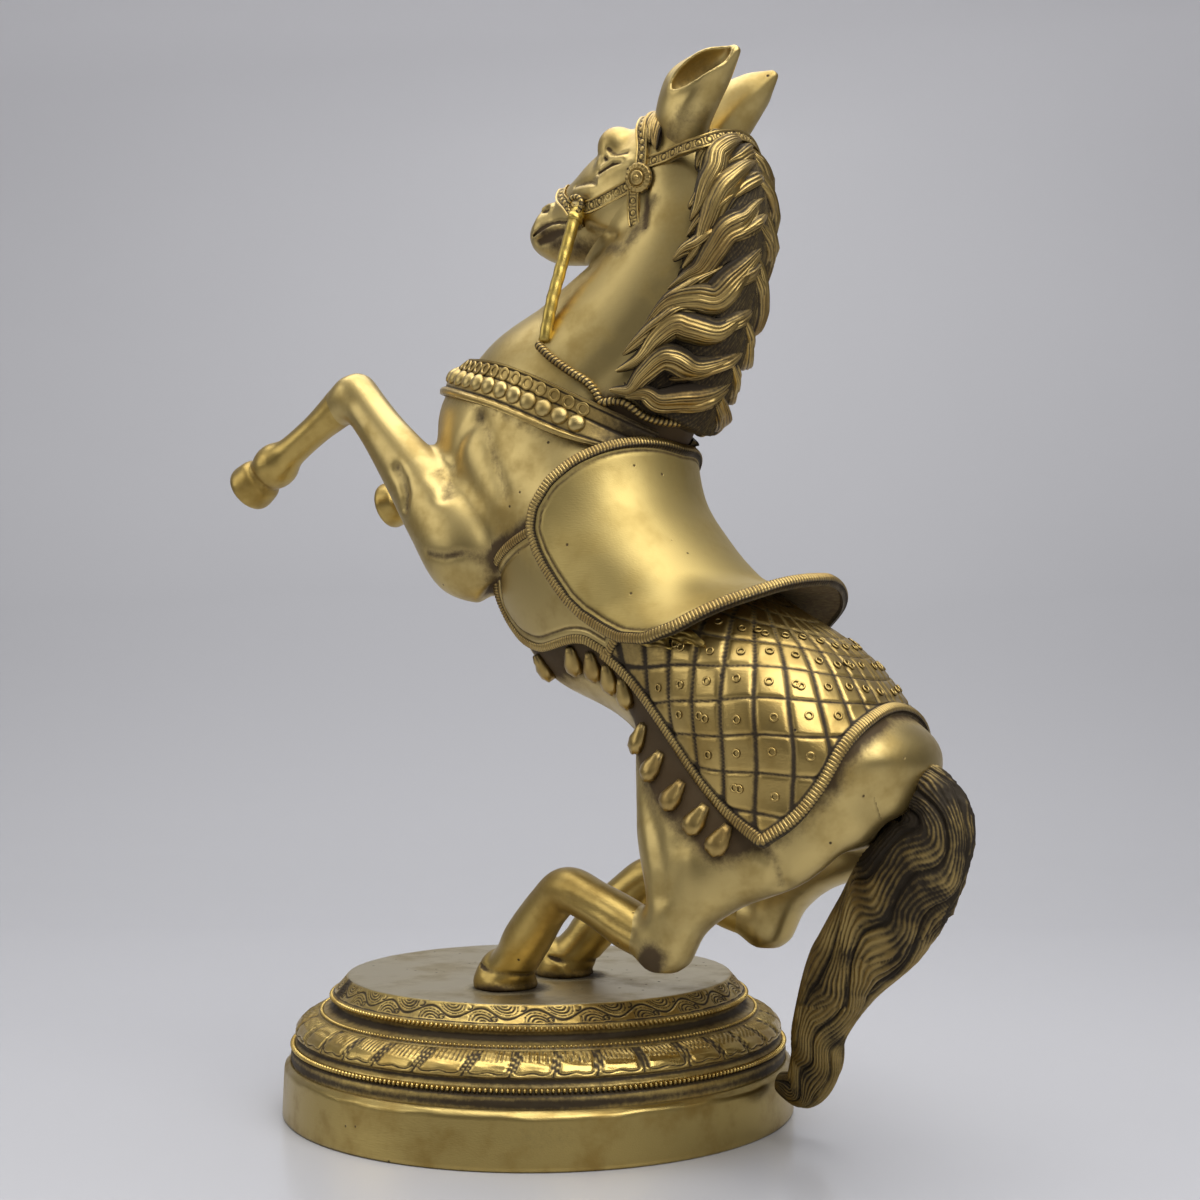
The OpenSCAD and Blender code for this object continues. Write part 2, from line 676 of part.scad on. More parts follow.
// The locks: station and degrees of the points that each passes
lock_routes = [
    [[6.52, 14], [6.07, 42], [5.64, 51], [5.3, 60], [4.96, 66], [4.71, 72]],
    [[5.96, 12], [5.41, 36], [5.11, 46], [4.74, 52], [4.39, 56], [3.98, 66]],
    [[5.25, 8], [4.93, 23], [4.71, 35], [4.39, 41], [4.08, 48], [3.89, 59], [3.6, 72]],
    [[4.56, 4], [4.14, 21], [3.79, 31], [3.68, 45], [3.54, 59], [3.33, 69], [2.95, 76]],
    [[3.7, 8], [3.4, 24], [3.28, 42], [3.21, 54], [2.94, 62], [2.62, 66], [2.25, 76]],
    [[3.14, 10], [2.9, 28], [2.86, 43], [2.77, 52], [2.48, 57], [2.14, 60], [1.95, 72]],
    [[2.77, 8], [2.52, 27], [2.28, 38], [2.24, 50], [2, 60]],
    [[6.66, 28], [6.45, 42], [6.18, 56], [5.95, 66], [5.65, 76]],
    [[5.78, 26], [5.6, 44], [5.34, 58], [5.12, 68], [4.9, 80]],
    [[4.9, 28], [4.66, 44], [4.4, 58], [4.24, 70], [4.02, 80]]
];
lock_w = 8.6;
lock_h = 4.2;
lock_lift = 3.6;
// The forelock: shorter and flatter locks between the ears, on the head
forelock_routes = [[[0.5, 8], [0.95, 14], [1.3, 16]], [[0.6, 36], [1, 40], [1.32, 42]]];
forelock_h = 4.6;
forelock_lift = 3.2;
// On the right the locks sit a little lower and nearer the crest
lock_shift = [-0.12, -12];
function lock_taper(t) = min(1, 0.5 + 1.8 * t) * (1 - 0.75 * pow(t, 3));
module lock(S, route, rise, height) {
    n = len(route) - 1;
    function mid(j, lift) = skin(S, route[j][0], route[j][1], lift);
    tube([for (j = [0:n])
        let (T = unit(mid(min(n, j + 1), rise) - mid(max(0, j - 1), rise)),
             A = unit(cross(T, mid(j, 1) - mid(j, 0))), U = cross(A, T), t = lock_taper(j / n))
        [for (a = [0:45:315]) mid(j, rise) + A * lock_w / 2 * t * sin(a)
            + U * (cos(a) > 0 ? height * t : rise + seat_sink) * cos(a)]]);
}
module cap_form() {
    n = 18;
    m = 12;
    from = mane_edge[0][0];
    to = mane_edge[len(mane_edge) - 1][0];
    function cap_pt(i, v, lift) =
        let (u = from + (to - from) * i / n) skin(neck_line, u, v * lookup(u, mane_edge), lift);
    sheet(
        [for (i = [0:n]) [for (j = [0:m]) let (v = 2 * j / m - 1)
            cap_pt(i, v, mane_edge_t + (mane_t - mane_edge_t) * pow(1 - v * v, 1.5))]],
        [for (i = [0:n]) [for (j = [0:m]) cap_pt(i, 2 * j / m - 1, -seat_sink)]]
    );
}
module mane_form() {
    cap_form();
    for (r = lock_routes) {
        lock(neck_line, [for (q = r) [q[0], -q[1]]], lock_lift, lock_h);
        lock(neck_line, [for (q = r) q + lock_shift], lock_lift, lock_h);
    }
    for (s = [-1, 1], r = forelock_routes)
        lock(head_line, [for (q = r) [q[0], s * q[1]]], forelock_lift, forelock_h);
}
// None of the mane reaches under the saddle
mane_clear = 15;
module mane() {
    color(dull) horse() difference() {
        mane_form();
        neck_form();
        head_form();
        torso_form();
        saddle_form(mane_clear);
        collar_form();
        for (s = [-1, 1]) ear_form(s);
    }
}

// Bridle: flat straps on the head, all but the noseband from a rosette on each cheek.
// Station and degrees of the points that each passes; the two sides run into each other at the middle
cheek_at = [1.67, 102.7];
strap_routes = [
    [cheek_at, [2.02, 104], [2.54, 103], [3.18, 100], [3.62, 95]],
    [cheek_at, [1.53, 87], [1.43, 71], [1.46, 45], [1.5, 20], [1.5, -6]],
    [cheek_at, [1.31, 98.6], [0.81, 97], [0.4, 94]],
    [cheek_at, [1.92, 113], [2.06, 127], [2.26, 140], [2.5, 152], [2.6, 168], [2.6, 188]],
    [[4.55, -6], [4.5, 25], [4.41, 56], [4.08, 81], [3.89, 101], [3.85, 130], [3.85, 160], [3.85, 188]]
];
module bridle_form() {
    for (s = [-1, 1], r = strap_routes) strap(head_line, [for (q = r) [q[0], s * q[1]]]);
}
module bridle() {
    color(brass) horse() difference() {
        bridle_form();
        head_form();
        neck_form();
        mane_form();
        for (s = [-1, 1]) ear_form(s);
    }
}
rosette_h = 1.5;
module cheek_rosettes() {
    color(bright) horse() for (s = [-1, 1]) {
        p = skin(head_line, cheek_at[0], s * cheek_at[1], strap_t);
        N = skin(head_line, cheek_at[0], s * cheek_at[1], strap_t + 1) - p;
        place(p, N, [1, 0, 0]) rotate_extrude($fn = 48) polygon([
            [0, 0], [rosette_d / 2, 0], [rosette_d / 2, rosette_h * 0.33],
            [rosette_d * 0.32, rosette_h * 0.67], [rosette_d * 0.28, rosette_h * 0.53],
            [rosette_d * 0.18, rosette_h * 0.87], [0, rosette_h]
        ]);
    }
}

// Reins: a free rod from each side of the bit to the neck, and a rope that lies on the neck
rein_route = [[33.8, 9, 223], [33.4, 13, 219.5], [32, 15.2, 211], [30.4, 17, 202], [28.9, 18.8, 193],
              [27.2, 19.8, 182]];
// Station and degrees of the points that the rope passes
rope_route = [[1.84, 116], [1.76, 107], [1.7, 98], [1.7, 90], [1.77, 78], [1.79, 67], [1.74, 58],
              [1.82, 52], [1.91, 47], [1.91, 40], [1.96, 30]];
module rein(s) {
    color(bright) horse() difference() {
        rod([for (q = rein_route) [q[0], s * q[1], q[2]]], rein_d);
        head_form();
        bridle_form();
        neck_form();
    }
}
module left_rein() rein(-1);
module right_rein() rein(1);
module rope_rein() {
    color(dull) horse() difference() {
        for (s = [-1, 1])
            rod([for (q = rope_route) skin(neck_line, q[0], s * q[1], rope_d * 0.3)], rope_d, 8);
        neck_form();
        mane_form();
        collar_form();
        torso_form();
        saddle_form();
    }
}

foot_band();
plinth_dome();
hoof_screws();
screw_washers();
torso();
neck();
head();
left_ear();
right_ear();
mane();
left_fore_arm();
left_fore_shank();
right_fore_arm();
right_fore_shank();
left_hind_thigh();
left_hind_shank();
right_hind_thigh();
right_hind_shank();
tail();
saddle();
saddle_cloth();
left_girth_flap();
right_girth_flap();
drop_bells();
breast_collar();
collar_domes();
bridle();
cheek_rosettes();
left_rein();
right_rein();
rope_rein();
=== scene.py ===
import math
import bpy
import numpy as np
import openvdb as vdb
from mathutils import Matrix, Vector


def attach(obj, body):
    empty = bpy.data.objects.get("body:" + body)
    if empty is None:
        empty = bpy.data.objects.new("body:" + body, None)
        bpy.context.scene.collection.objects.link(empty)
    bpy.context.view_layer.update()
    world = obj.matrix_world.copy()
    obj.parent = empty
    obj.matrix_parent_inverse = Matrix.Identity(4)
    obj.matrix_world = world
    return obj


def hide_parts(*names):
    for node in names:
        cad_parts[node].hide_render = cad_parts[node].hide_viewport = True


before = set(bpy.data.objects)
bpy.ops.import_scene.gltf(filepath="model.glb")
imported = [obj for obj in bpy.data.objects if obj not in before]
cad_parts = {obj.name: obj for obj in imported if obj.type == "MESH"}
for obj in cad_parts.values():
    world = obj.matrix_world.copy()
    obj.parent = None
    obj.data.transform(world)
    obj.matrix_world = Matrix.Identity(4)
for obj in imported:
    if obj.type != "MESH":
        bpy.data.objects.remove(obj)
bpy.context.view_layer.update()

# Foot band
# A plain turned ring of brass under the plinth, satin from long handling, with a
# bright wavy lip where the plinth casting sits in its lap.
MM = 0.001


def lin(code):
    """Linear RGBA of an sRGB hex colour."""
    c = [int(code[i:i + 2], 16) / 255 for i in (1, 3, 5)]
    return [v / 12.92 if v <= 0.04045 else ((v + 0.055) / 1.055) ** 2.4 for v in c] + [1.0]


def add(tree, kind, inputs=None, **settings):
    """Adds a node with its settings; each input is a value or a socket to link."""
    n = tree.nodes.new(kind)
    for k, v in settings.items():
        setattr(n, k, v)
    for k, v in (inputs or {}).items():
        if isinstance(v, bpy.types.NodeSocket):
            tree.links.new(v, n.inputs[k])
        else:
            n.inputs[k].default_value = v
    return n


def brass(name, bare, tarnished, residue, rough, stain=0.35, scratch=0.15, pit=0.0, grain=0.0):
    """Cast brass: bare metal that mirrors its surroundings softly, tarnish in clouds, brown where the mesh's attribute
    is high (residue where the surface lies in a hollow, and painted shade in some places), wiping scratches, pits and
    sand grain."""
    m = bpy.data.materials.new(name)
    m.use_nodes = True
    t = m.node_tree
    bsdf = t.nodes["Principled BSDF"]
    pos = add(t, "ShaderNodeTexCoord").outputs["Object"]
    residue_and_shade = add(t, "ShaderNodeAttribute", attribute_name="residue_and_shade").outputs["Fac"]
    # Tarnish in clouds about 15 mm across, speckle about 1.4 mm across
    cloud = add(t, "ShaderNodeTexNoise",
                {"Vector": pos, "Scale": 1 / (15 * MM), "Detail": 4.0, "Roughness": 0.6}).outputs["Fac"]
    speck = add(t, "ShaderNodeTexNoise",
                {"Vector": pos, "Scale": 1 / (1.4 * MM), "Detail": 4.0, "Roughness": 0.7}).outputs["Fac"]
    # Casting pits, at most one in each cell of about 4 mm, and only in the cells whose random value is low
    cell = add(t, "ShaderNodeTexVoronoi", {"Vector": pos, "Scale": 1 / (4 * MM)})
    near = add(t, "ShaderNodeMapRange",
               {"Value": cell.outputs["Distance"], "From Min": 0.05, "From Max": 0.14, "To Min": 1.0,
                "To Max": 0.0}).outputs[0]
    few = add(t, "ShaderNodeMath",
              {0: add(t, "ShaderNodeSeparateColor", {0: cell.outputs["Color"]}).outputs[0], 1: pit * 0.5},
              operation="LESS_THAN").outputs[0]
    pits = add(t, "ShaderNodeMath", {0: near, 1: few}, operation="MULTIPLY").outputs[0]
    veil = add(t, "ShaderNodeMapRange", {"Value": cloud, "From Min": 0.42, "From Max": 0.72, "To Max": stain},
               interpolation_type="SMOOTHSTEP").outputs[0]
    ragged = add(t, "ShaderNodeMath", {0: speck, 1: 0.6, 2: residue_and_shade}, operation="MULTIPLY_ADD").outputs[0]
    soiled = add(t, "ShaderNodeMath", {0: ragged, 1: pits}, operation="ADD").outputs[0]
    hollow = add(t, "ShaderNodeMapRange", {"Value": soiled, "From Min": 0.4, "From Max": 1.2, "To Max": 0.95},
                 interpolation_type="SMOOTHSTEP").outputs[0]
    # A Mix node's colour sockets are its 7th and 8th inputs and its 3rd output
    aged = add(t, "ShaderNodeMix", {0: veil, 6: lin(bare), 7: lin(tarnished)}, data_type="RGBA").outputs[2]
    colour = add(t, "ShaderNodeMix", {0: hollow, 6: aged, 7: lin(residue)}, data_type="RGBA").outputs[2]
    t.links.new(colour, bsdf.inputs["Base Color"])
    t.links.new(add(t, "ShaderNodeMapRange", {"Value": hollow, "To Min": 1.0, "To Max": 0.3}).outputs[0],
                bsdf.inputs["Metallic"])
    worn = add(t, "ShaderNodeMath", {0: veil, 1: 0.2, 2: rough}, operation="MULTIPLY_ADD").outputs[0]
    t.links.new(add(t, "ShaderNodeMath", {0: hollow, 1: 0.4, 2: worn}, operation="MULTIPLY_ADD").outputs[0],
                bsdf.inputs["Roughness"])
    # Wiping scratches 0.35 mm wide and ten times as long, drawn coarser than real ones so that they show
    drawn = add(t, "ShaderNodeMapping",
                {"Vector": pos, "Rotation": (0.5, 0.4, 0.8), "Scale": (280.0, 2800.0, 2800.0)}).outputs[0]
    wiped = add(t, "ShaderNodeTexNoise", {"Vector": drawn, "Scale": 1.0, "Detail": 2.0}).outputs["Fac"]
    sand = add(t, "ShaderNodeMath", {0: speck, 1: grain, 2: 1.0}, operation="MULTIPLY_ADD").outputs[0]
    lines = add(t, "ShaderNodeMath", {0: wiped, 1: scratch, 2: sand}, operation="MULTIPLY_ADD").outputs[0]
    relief = add(t, "ShaderNodeMath", {0: lines, 1: pits}, operation="SUBTRACT").outputs[0]
    t.links.new(add(t, "ShaderNodeBump", {"Height": relief, "Strength": 0.5, "Distance": 0.25 * MM}).outputs[0],
                bsdf.inputs["Normal"])
    return m


def store_residue_and_shade(me, residue_and_shade):
    """Stores for each point of a mesh, from 0 to 1, how deep it lies in residue and painted shade."""
    depth = np.clip(residue_and_shade, 0, 1).astype(np.float32)
    me.attributes.new("residue_and_shade", "FLOAT", "POINT").data.foreach_set("value", depth)


def piece(name, verts, faces, material, nodes, residue_and_shade):
    """Smooth mesh of points in mm and faces of one size, with its attribute of residue and painted shade, on the
    statue's one body.
    """
    faces = np.asarray(faces, np.int32)
    k = faces.shape[1]
    me = bpy.data.meshes.new(name)
    me.vertices.add(len(verts))
    me.vertices.foreach_set("co", (np.asarray(verts, float) * MM).ravel())
    me.loops.add(faces.size)
    me.loops.foreach_set("vertex_index", faces.ravel())
    me.polygons.add(len(faces))
    me.polygons.foreach_set("loop_start", np.arange(0, faces.size, k, dtype=np.int32))
    me.polygons.foreach_set("use_smooth", np.ones(len(faces), bool))
    me.update(calc_edges=True)
    store_residue_and_shade(me, residue_and_shade)
    me.materials.append(material)
    o = bpy.data.objects.new(name, me)
    bpy.context.scene.collection.objects.link(o)
    return fitted(o, nodes)


def fitted(o, nodes):
    """Gives a piece its body and hides the CAD nodes that it stands for."""
    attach(o, "root")
    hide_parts(*nodes)
    return o


def cells(n, m, close_n=False, close_m=False):
    """Quads of an n by m grid of points, closed round either way if asked."""
    i = np.arange(n if close_n else n - 1)[:, None]
    j = np.arange(m if close_m else m - 1)[None, :]
    i1, j1 = (i + 1) % n, (j + 1) % m
    return np.stack([i * m + j, i1 * m + j, i1 * m + j1, i * m + j1], -1).reshape(-1, 4)


def turned(profile, seg, relief=None):
    """Closed profile of (r, z) turned about Z, its skin moved by relief(angle, r, z): points, quads, relief."""
    p = np.asarray(profile, float)
    seg = seg
    a = np.linspace(0, 2 * np.pi, seg, endpoint=False)[:, None]
    d = np.roll(p, -1, 0) - np.roll(p, 1, 0)
    out = np.stack([d[:, 1], -d[:, 0]], 1) / np.maximum(1e-9, np.hypot(*d.T))[:, None]
    h = relief(a, p[:, 0], p[:, 1]) if relief else np.zeros((seg, len(p)))
    r, z = p[:, 0] + out[:, 0] * h, p[:, 1] + out[:, 1] * h
    v = np.stack([r * np.cos(a), r * np.sin(a), z], -1).reshape(-1, 3)
    return v, cells(seg, len(p), True, True), h.ravel()


def dense(points, step):
    """Open outline through points, with more of them so that none lie further apart than step."""
    p = np.asarray(points, float)
    rows = [p[:1]]
    for a, b in zip(p, p[1:]):
        k = max(1, math.ceil(np.hypot(*(b - a)) / step))
        rows.append(a + (b - a) * (np.arange(1, k + 1) / k)[:, None])
    return np.concatenate(rows)


def hump(x, mid, width):
    return np.exp(-((x - mid) / width) ** 2)


band_metal = brass("satin_turned_brass", "#b39d60", "#94793f", "#3a2a14", 0.31, stain=0.8, scratch=0.3, pit=0.3)
band_profile = dense([(70, 12.2), (70, 0), (75.4, 0), (75.9, 0.5), (75.75, 7), (75.5, 13.6), (75.3, 14.3), (74.7, 14.7),
                      (74.2, 15.15), (73.6, 15.2), (73.5, 12.2)], 1.0)


def wavy_lip(a, r, z):
    return hump(z, 14.5, 0.6) * (r > 73.8) * (0.12 * (np.sin(9 * a) + np.sin(23 * a + 1) + 0.6 * np.sin(41 * a)) - 0.2)


v, f, h = turned(band_profile, 320, wavy_lip)
z = v[:, 2]
handled = np.clip(np.sin(0.09 * v[:, 0] + 0.5) * np.sin(0.13 * v[:, 1]), 0, 1)
worn = 0.5 * hump(z, 15.3, 0.35) + 0.4 * hump(z, 0, 0.6) + 0.25 * hump(z, 9, 6) * handled
piece("foot_band_ring", v, f, band_metal, ["foot_band"], worn)

# Plinth casting
# A hollow stepped casting: a ledge, a beaded ring, a convex band engraved with lappets, a cove, a second
# beaded ring, a sloping band engraved with scrolls and a flat deck, dark with residue in every cut.
chased = brass("engraved_plinth_brass", "#c6ab65", "#98793c", "#23170a", 0.27, stain=0.7, scratch=0.2, grain=0.25)
lappets, waves = 36, 25


def lappet_cuts(a, r, z):
    """Side-by-side lappets: two nested outlines with a bracketed foot, and short flutes from the upper edge."""
    t = (z - 23.2) / 5.2
    w = (a * lappets / (2 * np.pi) + 0.10 * np.sin(7 * a) + 0.22 * t * np.sin(2 * a + 1)) % 1.0
    side = np.minimum(w, 1 - w) * 12.2
    high = t * 7.2
    bracket = 1.05 + 0.35 * np.cos(4 * np.pi * w) + 0.9 * np.clip(1 - side / 1.6, 0, 1)
    inside = np.minimum(side - 1.15, high - bracket)
    cut = np.maximum(hump(side, 0, 0.30), hump(inside, 0, 0.26))
    cut = np.maximum(cut, 0.8 * hump(side, 0.62, 0.16) * (high > 1.6))
    lean = ((w * 12.2 + 0.35 * (high - 5)) / 1.28) % 1.0
    reach = 3.3 + 1.3 * np.abs(np.sin(9 * np.pi * w))
    flute = hump(lean, 0.5, 0.19) * np.clip((high - reach) / 0.5, 0, 1) * (inside > 0.45)
    return -0.42 * np.clip(np.maximum(cut, flute), 0, 1) + 0.12 * np.clip(inside, 0, 1)


def scroll_cuts(a, r, z):
    """A running wave with feathered arcs nested in each of its bends."""
    w = (a * waves / (2 * np.pi)) % 1.0
    t = np.clip((z - 34.8) / 3.9, 0, 1)
    x, y = w * 14.8, t * 5.2
    line = hump(y, 2.6 + 1.55 * np.sin(2 * np.pi * w), 0.30)
    arcs = 0
    for mid, level in ((0.25, -0.4), (0.75, 5.6)):
        d = np.hypot(x - mid * 14.8 + 0.5 * (y - 2.6), (y - level) * 1.1)
        arcs = np.maximum(arcs, np.abs(np.cos(np.pi * d / 0.98)) ** 4 * (d < 3.9) * (d > 0.7))
    for mid, level in ((0.02, 4.4), (0.52, 0.9)):
        d = np.hypot(x - mid * 14.8, y - level)
        arcs = np.maximum(arcs, hump(d, 0.8, 0.22))
    return -0.40 * np.clip(np.maximum(line, 0.9 * arcs), 0, 1) * np.clip((0.5 - np.abs(t - 0.5)) * 12, 0, 1)


def cast_skin(a, r, z):
    """Unevenness of a sand casting."""
    return 0.06 * np.sin(31 * a + 3 * z) * np.sin(17 * a - 2 * r) + 0.04 * np.sin(53 * a + z)


ledge = dense([(73.5, 12.2), (73.5, 15.3), (73.7, 17.6), (73.4, 18.6), (72.3, 19.1), (72.5, 20.6), (71.6, 21.5),
               (71.6, 22.5), (71.0, 23.0)], 0.5)
v, f, h = turned(np.concatenate([ledge, [(68.5, 21.0), (68.5, 12.2)]]), 360, cast_skin)
z = v[:, 2]
piece("plinth_ledge", v, f, chased, ["plinth_dome"],
      0.45 + 0.7 * hump(z, 21.9, 0.5) + 0.6 * hump(z, 18.8, 0.4) + 0.45 * hump(z, 16.6, 1.0)
      + 0.15 * np.sin(5 * np.arctan2(v[:, 1], v[:, 0])))
petal = dense([(72.0, 22.7), (72.5, 23.2), (72.35, 24.3), (71.6, 25.6), (70.3, 26.8), (68.4, 27.8), (66.4, 28.45)], 0.3)
v, f, h = turned(np.concatenate([petal, [(65.6, 28.5), (65.0, 27.6), (66.5, 22.0), (71.0, 22.0)]]), 1000,
                 lambda a, r, z: (z > 22.9) * (r > 66.2) * lappet_cuts(a, r, z) + cast_skin(a, r, z))
around = np.arctan2(v[:, 1], v[:, 0])
# Residue in the cuts and along the joints, and painted shade that darkens the half of the band facing +y, round its
# right side and back
piece("plinth_lappet_band", v, f, chased, ["plinth_dome"],
      0.12 - 2.3 * np.minimum(h, 0) + 0.5 * hump(v[:, 2], 22.7, 0.5) + 0.4 * hump(v[:, 2], 28.6, 0.25)
      + 0.25 * np.clip(np.sin(around - 0.4), 0, 1))
cove = dense([(66.0, 28.4), (65.4, 28.8), (65.1, 29.4), (63.4, 29.7), (61.7, 30.4), (61.0, 31.3), (61.3, 32.2),
              (61.9, 32.8), (61.9, 34.1), (61.2, 34.7)], 0.4)
v, f, h = turned(np.concatenate([cove, [(58.5, 34.4), (60.0, 28.0)]]), 360, cast_skin)
z = v[:, 2]
piece("plinth_cove", v, f, chased, ["plinth_dome"],
      0.42 + 0.65 * hump(z, 30.9, 0.9) + 0.6 * hump(z, 34.7, 0.3) + 0.4 * hump(z, 29.0, 0.3))
scroll = dense([(61.3, 34.6), (61.0, 34.9), (57.9, 38.5), (57.5, 38.85)], 0.2)
v, f, h = turned(np.concatenate([scroll, [(56.6, 38.6), (56.6, 34.2), (60.5, 33.8)]]), 1000,
                 lambda a, r, z: (z > 34.8) * (z < 38.7) * (r > 57.2) * scroll_cuts(a, r, z) + 0.5 * cast_skin(a, r, z))
around = np.arctan2(v[:, 1], v[:, 0])
black = np.clip(np.sin(11 * around) + np.sin(17 * around + 2) - 0.7, 0, 1) * hump(around, -2.1, 0.45)
piece("plinth_scroll_band", v, f, chased, ["plinth_dome"],
      0.26 - 2.4 * np.minimum(h, 0) + 0.9 * black)

# The deck keeps the marks of use: grey tarnish, long scratches, pits, and black flux about the hooves
deck_metal = brass("tarnished_deck_brass", "#bdb08c", "#968765", "#33281a", 0.33, stain=0.8, scratch=0.6, pit=0.9)
deck_r, deck_z = 57.2, 38.95
rings, seg = ((46, 240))
r = np.concatenate([np.linspace(1.0, deck_r, rings), [57.35, 57.2, 56.7, 56.5, 40, 1.0]])
z = np.concatenate([np.full(rings, deck_z), [38.88, 38.7, 38.3, 34.5, 34.5, 34.5]])
a = np.linspace(0, 2 * np.pi, seg, endpoint=False)[:, None]
v = np.stack(np.broadcast_arrays(r * np.cos(a), r * np.sin(a), z), -1).reshape(-1, 3)
v[:, 2] -= (v[:, 2] > 38.8) * (0.04 + 0.04 * np.sin(v[:, 0] * 0.31) * np.sin(v[:, 1] * 0.23 + 1))
flux = sum(0.85 * np.exp(-(np.hypot(v[:, 0] - 11, v[:, 1] + 15 - 14 * s) / 12.5) ** 6) for s in (-1, 1))
piece("plinth_deck", v, cells(len(a), len(r), True, True), deck_metal, ["plinth_dome"],
      flux + 0.3 * hump(np.hypot(v[:, 0], v[:, 1]), 56.6, 0.5))


def stamp(name, profile, seg, relief=None, dark=0.9):
    """Small turned form, in mm, that a set of like trims is made from; its foot is dark with residue."""
    v, f, h = turned(profile, seg * (1), relief)
    me = bpy.data.meshes.new(name)
    me.from_pydata((v * MM).tolist(), [], f.tolist())
    foot = (v[:, 2] - v[:, 2].min()) / np.ptp(v[:, 2])
    store_residue_and_shade(me, dark - 2.2 * foot - 2 * h)
    me.polygons.foreach_set("use_smooth", np.ones(len(f), bool))
    o = bpy.data.objects.new(name, me)
    bpy.context.scene.collection.objects.link(o)
    return o


def trims(name, form, places, outward, along, size, material, slot, nodes):
    """Like trims set on a surface by Geometry Nodes: form on each place, its axis outward and its X along."""
    places, outward, along = (np.asarray(x, float) for x in (places, outward, along))
    me = bpy.data.meshes.new(name)
    me.vertices.add(len(places))
    me.vertices.foreach_set("co", (places * MM).ravel())
    z = outward / np.linalg.norm(outward, axis=1, keepdims=True)
    x = along - (along * z).sum(1, keepdims=True) * z
    x /= np.linalg.norm(x, axis=1, keepdims=True)
    y = np.cross(z, x)
    turn = [Matrix(np.stack([x[i], y[i], z[i]], 1).tolist()).to_euler() for i in range(len(places))]
    me.attributes.new("turn", "FLOAT_VECTOR", "POINT").data.foreach_set("vector", np.array(turn, np.float32).ravel())
    size = np.broadcast_to(np.asarray(size, np.float32), (len(places), 3))
    me.attributes.new("size", "FLOAT_VECTOR", "POINT").data.foreach_set("vector", np.ascontiguousarray(size).ravel())
    o = bpy.data.objects.new(name, me)
    bpy.context.scene.collection.objects.link(o)
    tree = bpy.data.node_groups.new(name, "GeometryNodeTree")
    sockets = {k: tree.interface.new_socket(k, in_out="INPUT", socket_type="NodeSocket" + kind).identifier
               for k, kind in (("Places", "Geometry"), ("Form", "Object"), ("Metal", "Material"))}
    tree.interface.new_socket("Trims", in_out="OUTPUT", socket_type="NodeSocketGeometry")
    given = add(tree, "NodeGroupInput").outputs
    shape = add(tree, "GeometryNodeObjectInfo", {"Object": given["Form"]}).outputs["Geometry"]
    turned_by = add(tree, "GeometryNodeInputNamedAttribute", {"Name": "turn"}, data_type="FLOAT_VECTOR").outputs[0]
    sized_by = add(tree, "GeometryNodeInputNamedAttribute", {"Name": "size"}, data_type="FLOAT_VECTOR").outputs[0]
    put = add(tree, "GeometryNodeInstanceOnPoints",
              {"Points": given["Places"], "Instance": shape, "Rotation": turned_by, "Scale": sized_by}).outputs[0]
    real = add(tree, "GeometryNodeRealizeInstances", {"Geometry": put}).outputs[0]
    done = add(tree, "GeometryNodeSetMaterial", {"Geometry": real, "Material": given["Metal"]}).outputs[0]
    add(tree, "NodeGroupOutput", {"Trims": done})
    mod = o.modifiers.new(name, "NODES")
    mod.node_group = tree
    mod[sockets["Form"]] = form
    mod[sockets["Metal"]] = material
    made = bpy.data.meshes.new_from_object(o.evaluated_get(bpy.context.evaluated_depsgraph_get()))
    o.modifiers.clear()
    o.data = made
    return fitted(o, nodes)


def dome_profile(r, h):
    """Half-round section of a bead, closed under its foot."""
    k = np.radians([0, 22, 45, 68, 86])
    return [(r * 0.97, -0.25)] + [(r * math.cos(x), h * math.sin(x)) for x in k] + [(0.02, h), (0.02, -0.25)]


bead = stamp("bead", dome_profile(0.5, 0.5), 8)
for name, ring_r, ring_z, lean, pitch, size in (("lower_bead_ring", 72.95, 19.9, 0.25, 1.45, (1.05, 1.5, 2.0)),
                                                 ("upper_bead_ring", 61.9, 33.45, 0.3, 1.45, (1.05, 1.4, 1.8)),
                                                 ("milled_edge_ring", 64.9, 29.3, 0.6, 1.2, (0.9, 1.0, 1.2))):
    count = round(2 * math.pi * ring_r / pitch)
    a = np.arange(count) * 2 * math.pi / count
    out = np.stack([np.cos(a), np.sin(a), np.full(count, lean)], 1)
    along = np.stack([-np.sin(a), np.cos(a), 0 * a], 1)
    trims(name, bead, np.stack([ring_r * np.cos(a), ring_r * np.sin(a), np.full(count, ring_z)], 1), out, along, size,
          chased, "patinated_brass", ["plinth_dome"])

# Hoof screws and washers
# Steel machine screws with plain washers, up through the plinth's hollow into the hind hooves, out of sight
# from outside.
steel = bpy.data.materials.new("zinc_plated_steel")
steel.use_nodes = True
t = steel.node_tree
bsdf = t.nodes["Principled BSDF"]
pos = add(t, "ShaderNodeTexCoord").outputs["Object"]
cloud = add(t, "ShaderNodeTexNoise", {"Vector": pos, "Scale": 1 / (2 * MM), "Detail": 3.0}).outputs["Fac"]
tone = add(t, "ShaderNodeMix", {0: cloud, 6: lin("#a9abb0"), 7: lin("#7f7c78")}, data_type="RGBA").outputs[2]
t.links.new(tone, bsdf.inputs["Base Color"])
t.links.new(add(t, "ShaderNodeMapRange", {"Value": cloud, "To Min": 0.25, "To Max": 0.5}).outputs[0],
            bsdf.inputs["Roughness"])
bsdf.inputs["Metallic"].default_value = 1.0
for node in ("hoof_screws", "screw_washers"):
    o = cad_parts[node]
    o.data.materials.clear()
    o.data.materials.append(steel)

# Horse castings
# Torso, neck, head, ears and legs: hollow brass castings brazed to one another, the joins filed
# away, then chased along the muscles and polished. Brown residue stays in the creases.
HORSE = np.array([0.0, -15.0, 39.0])


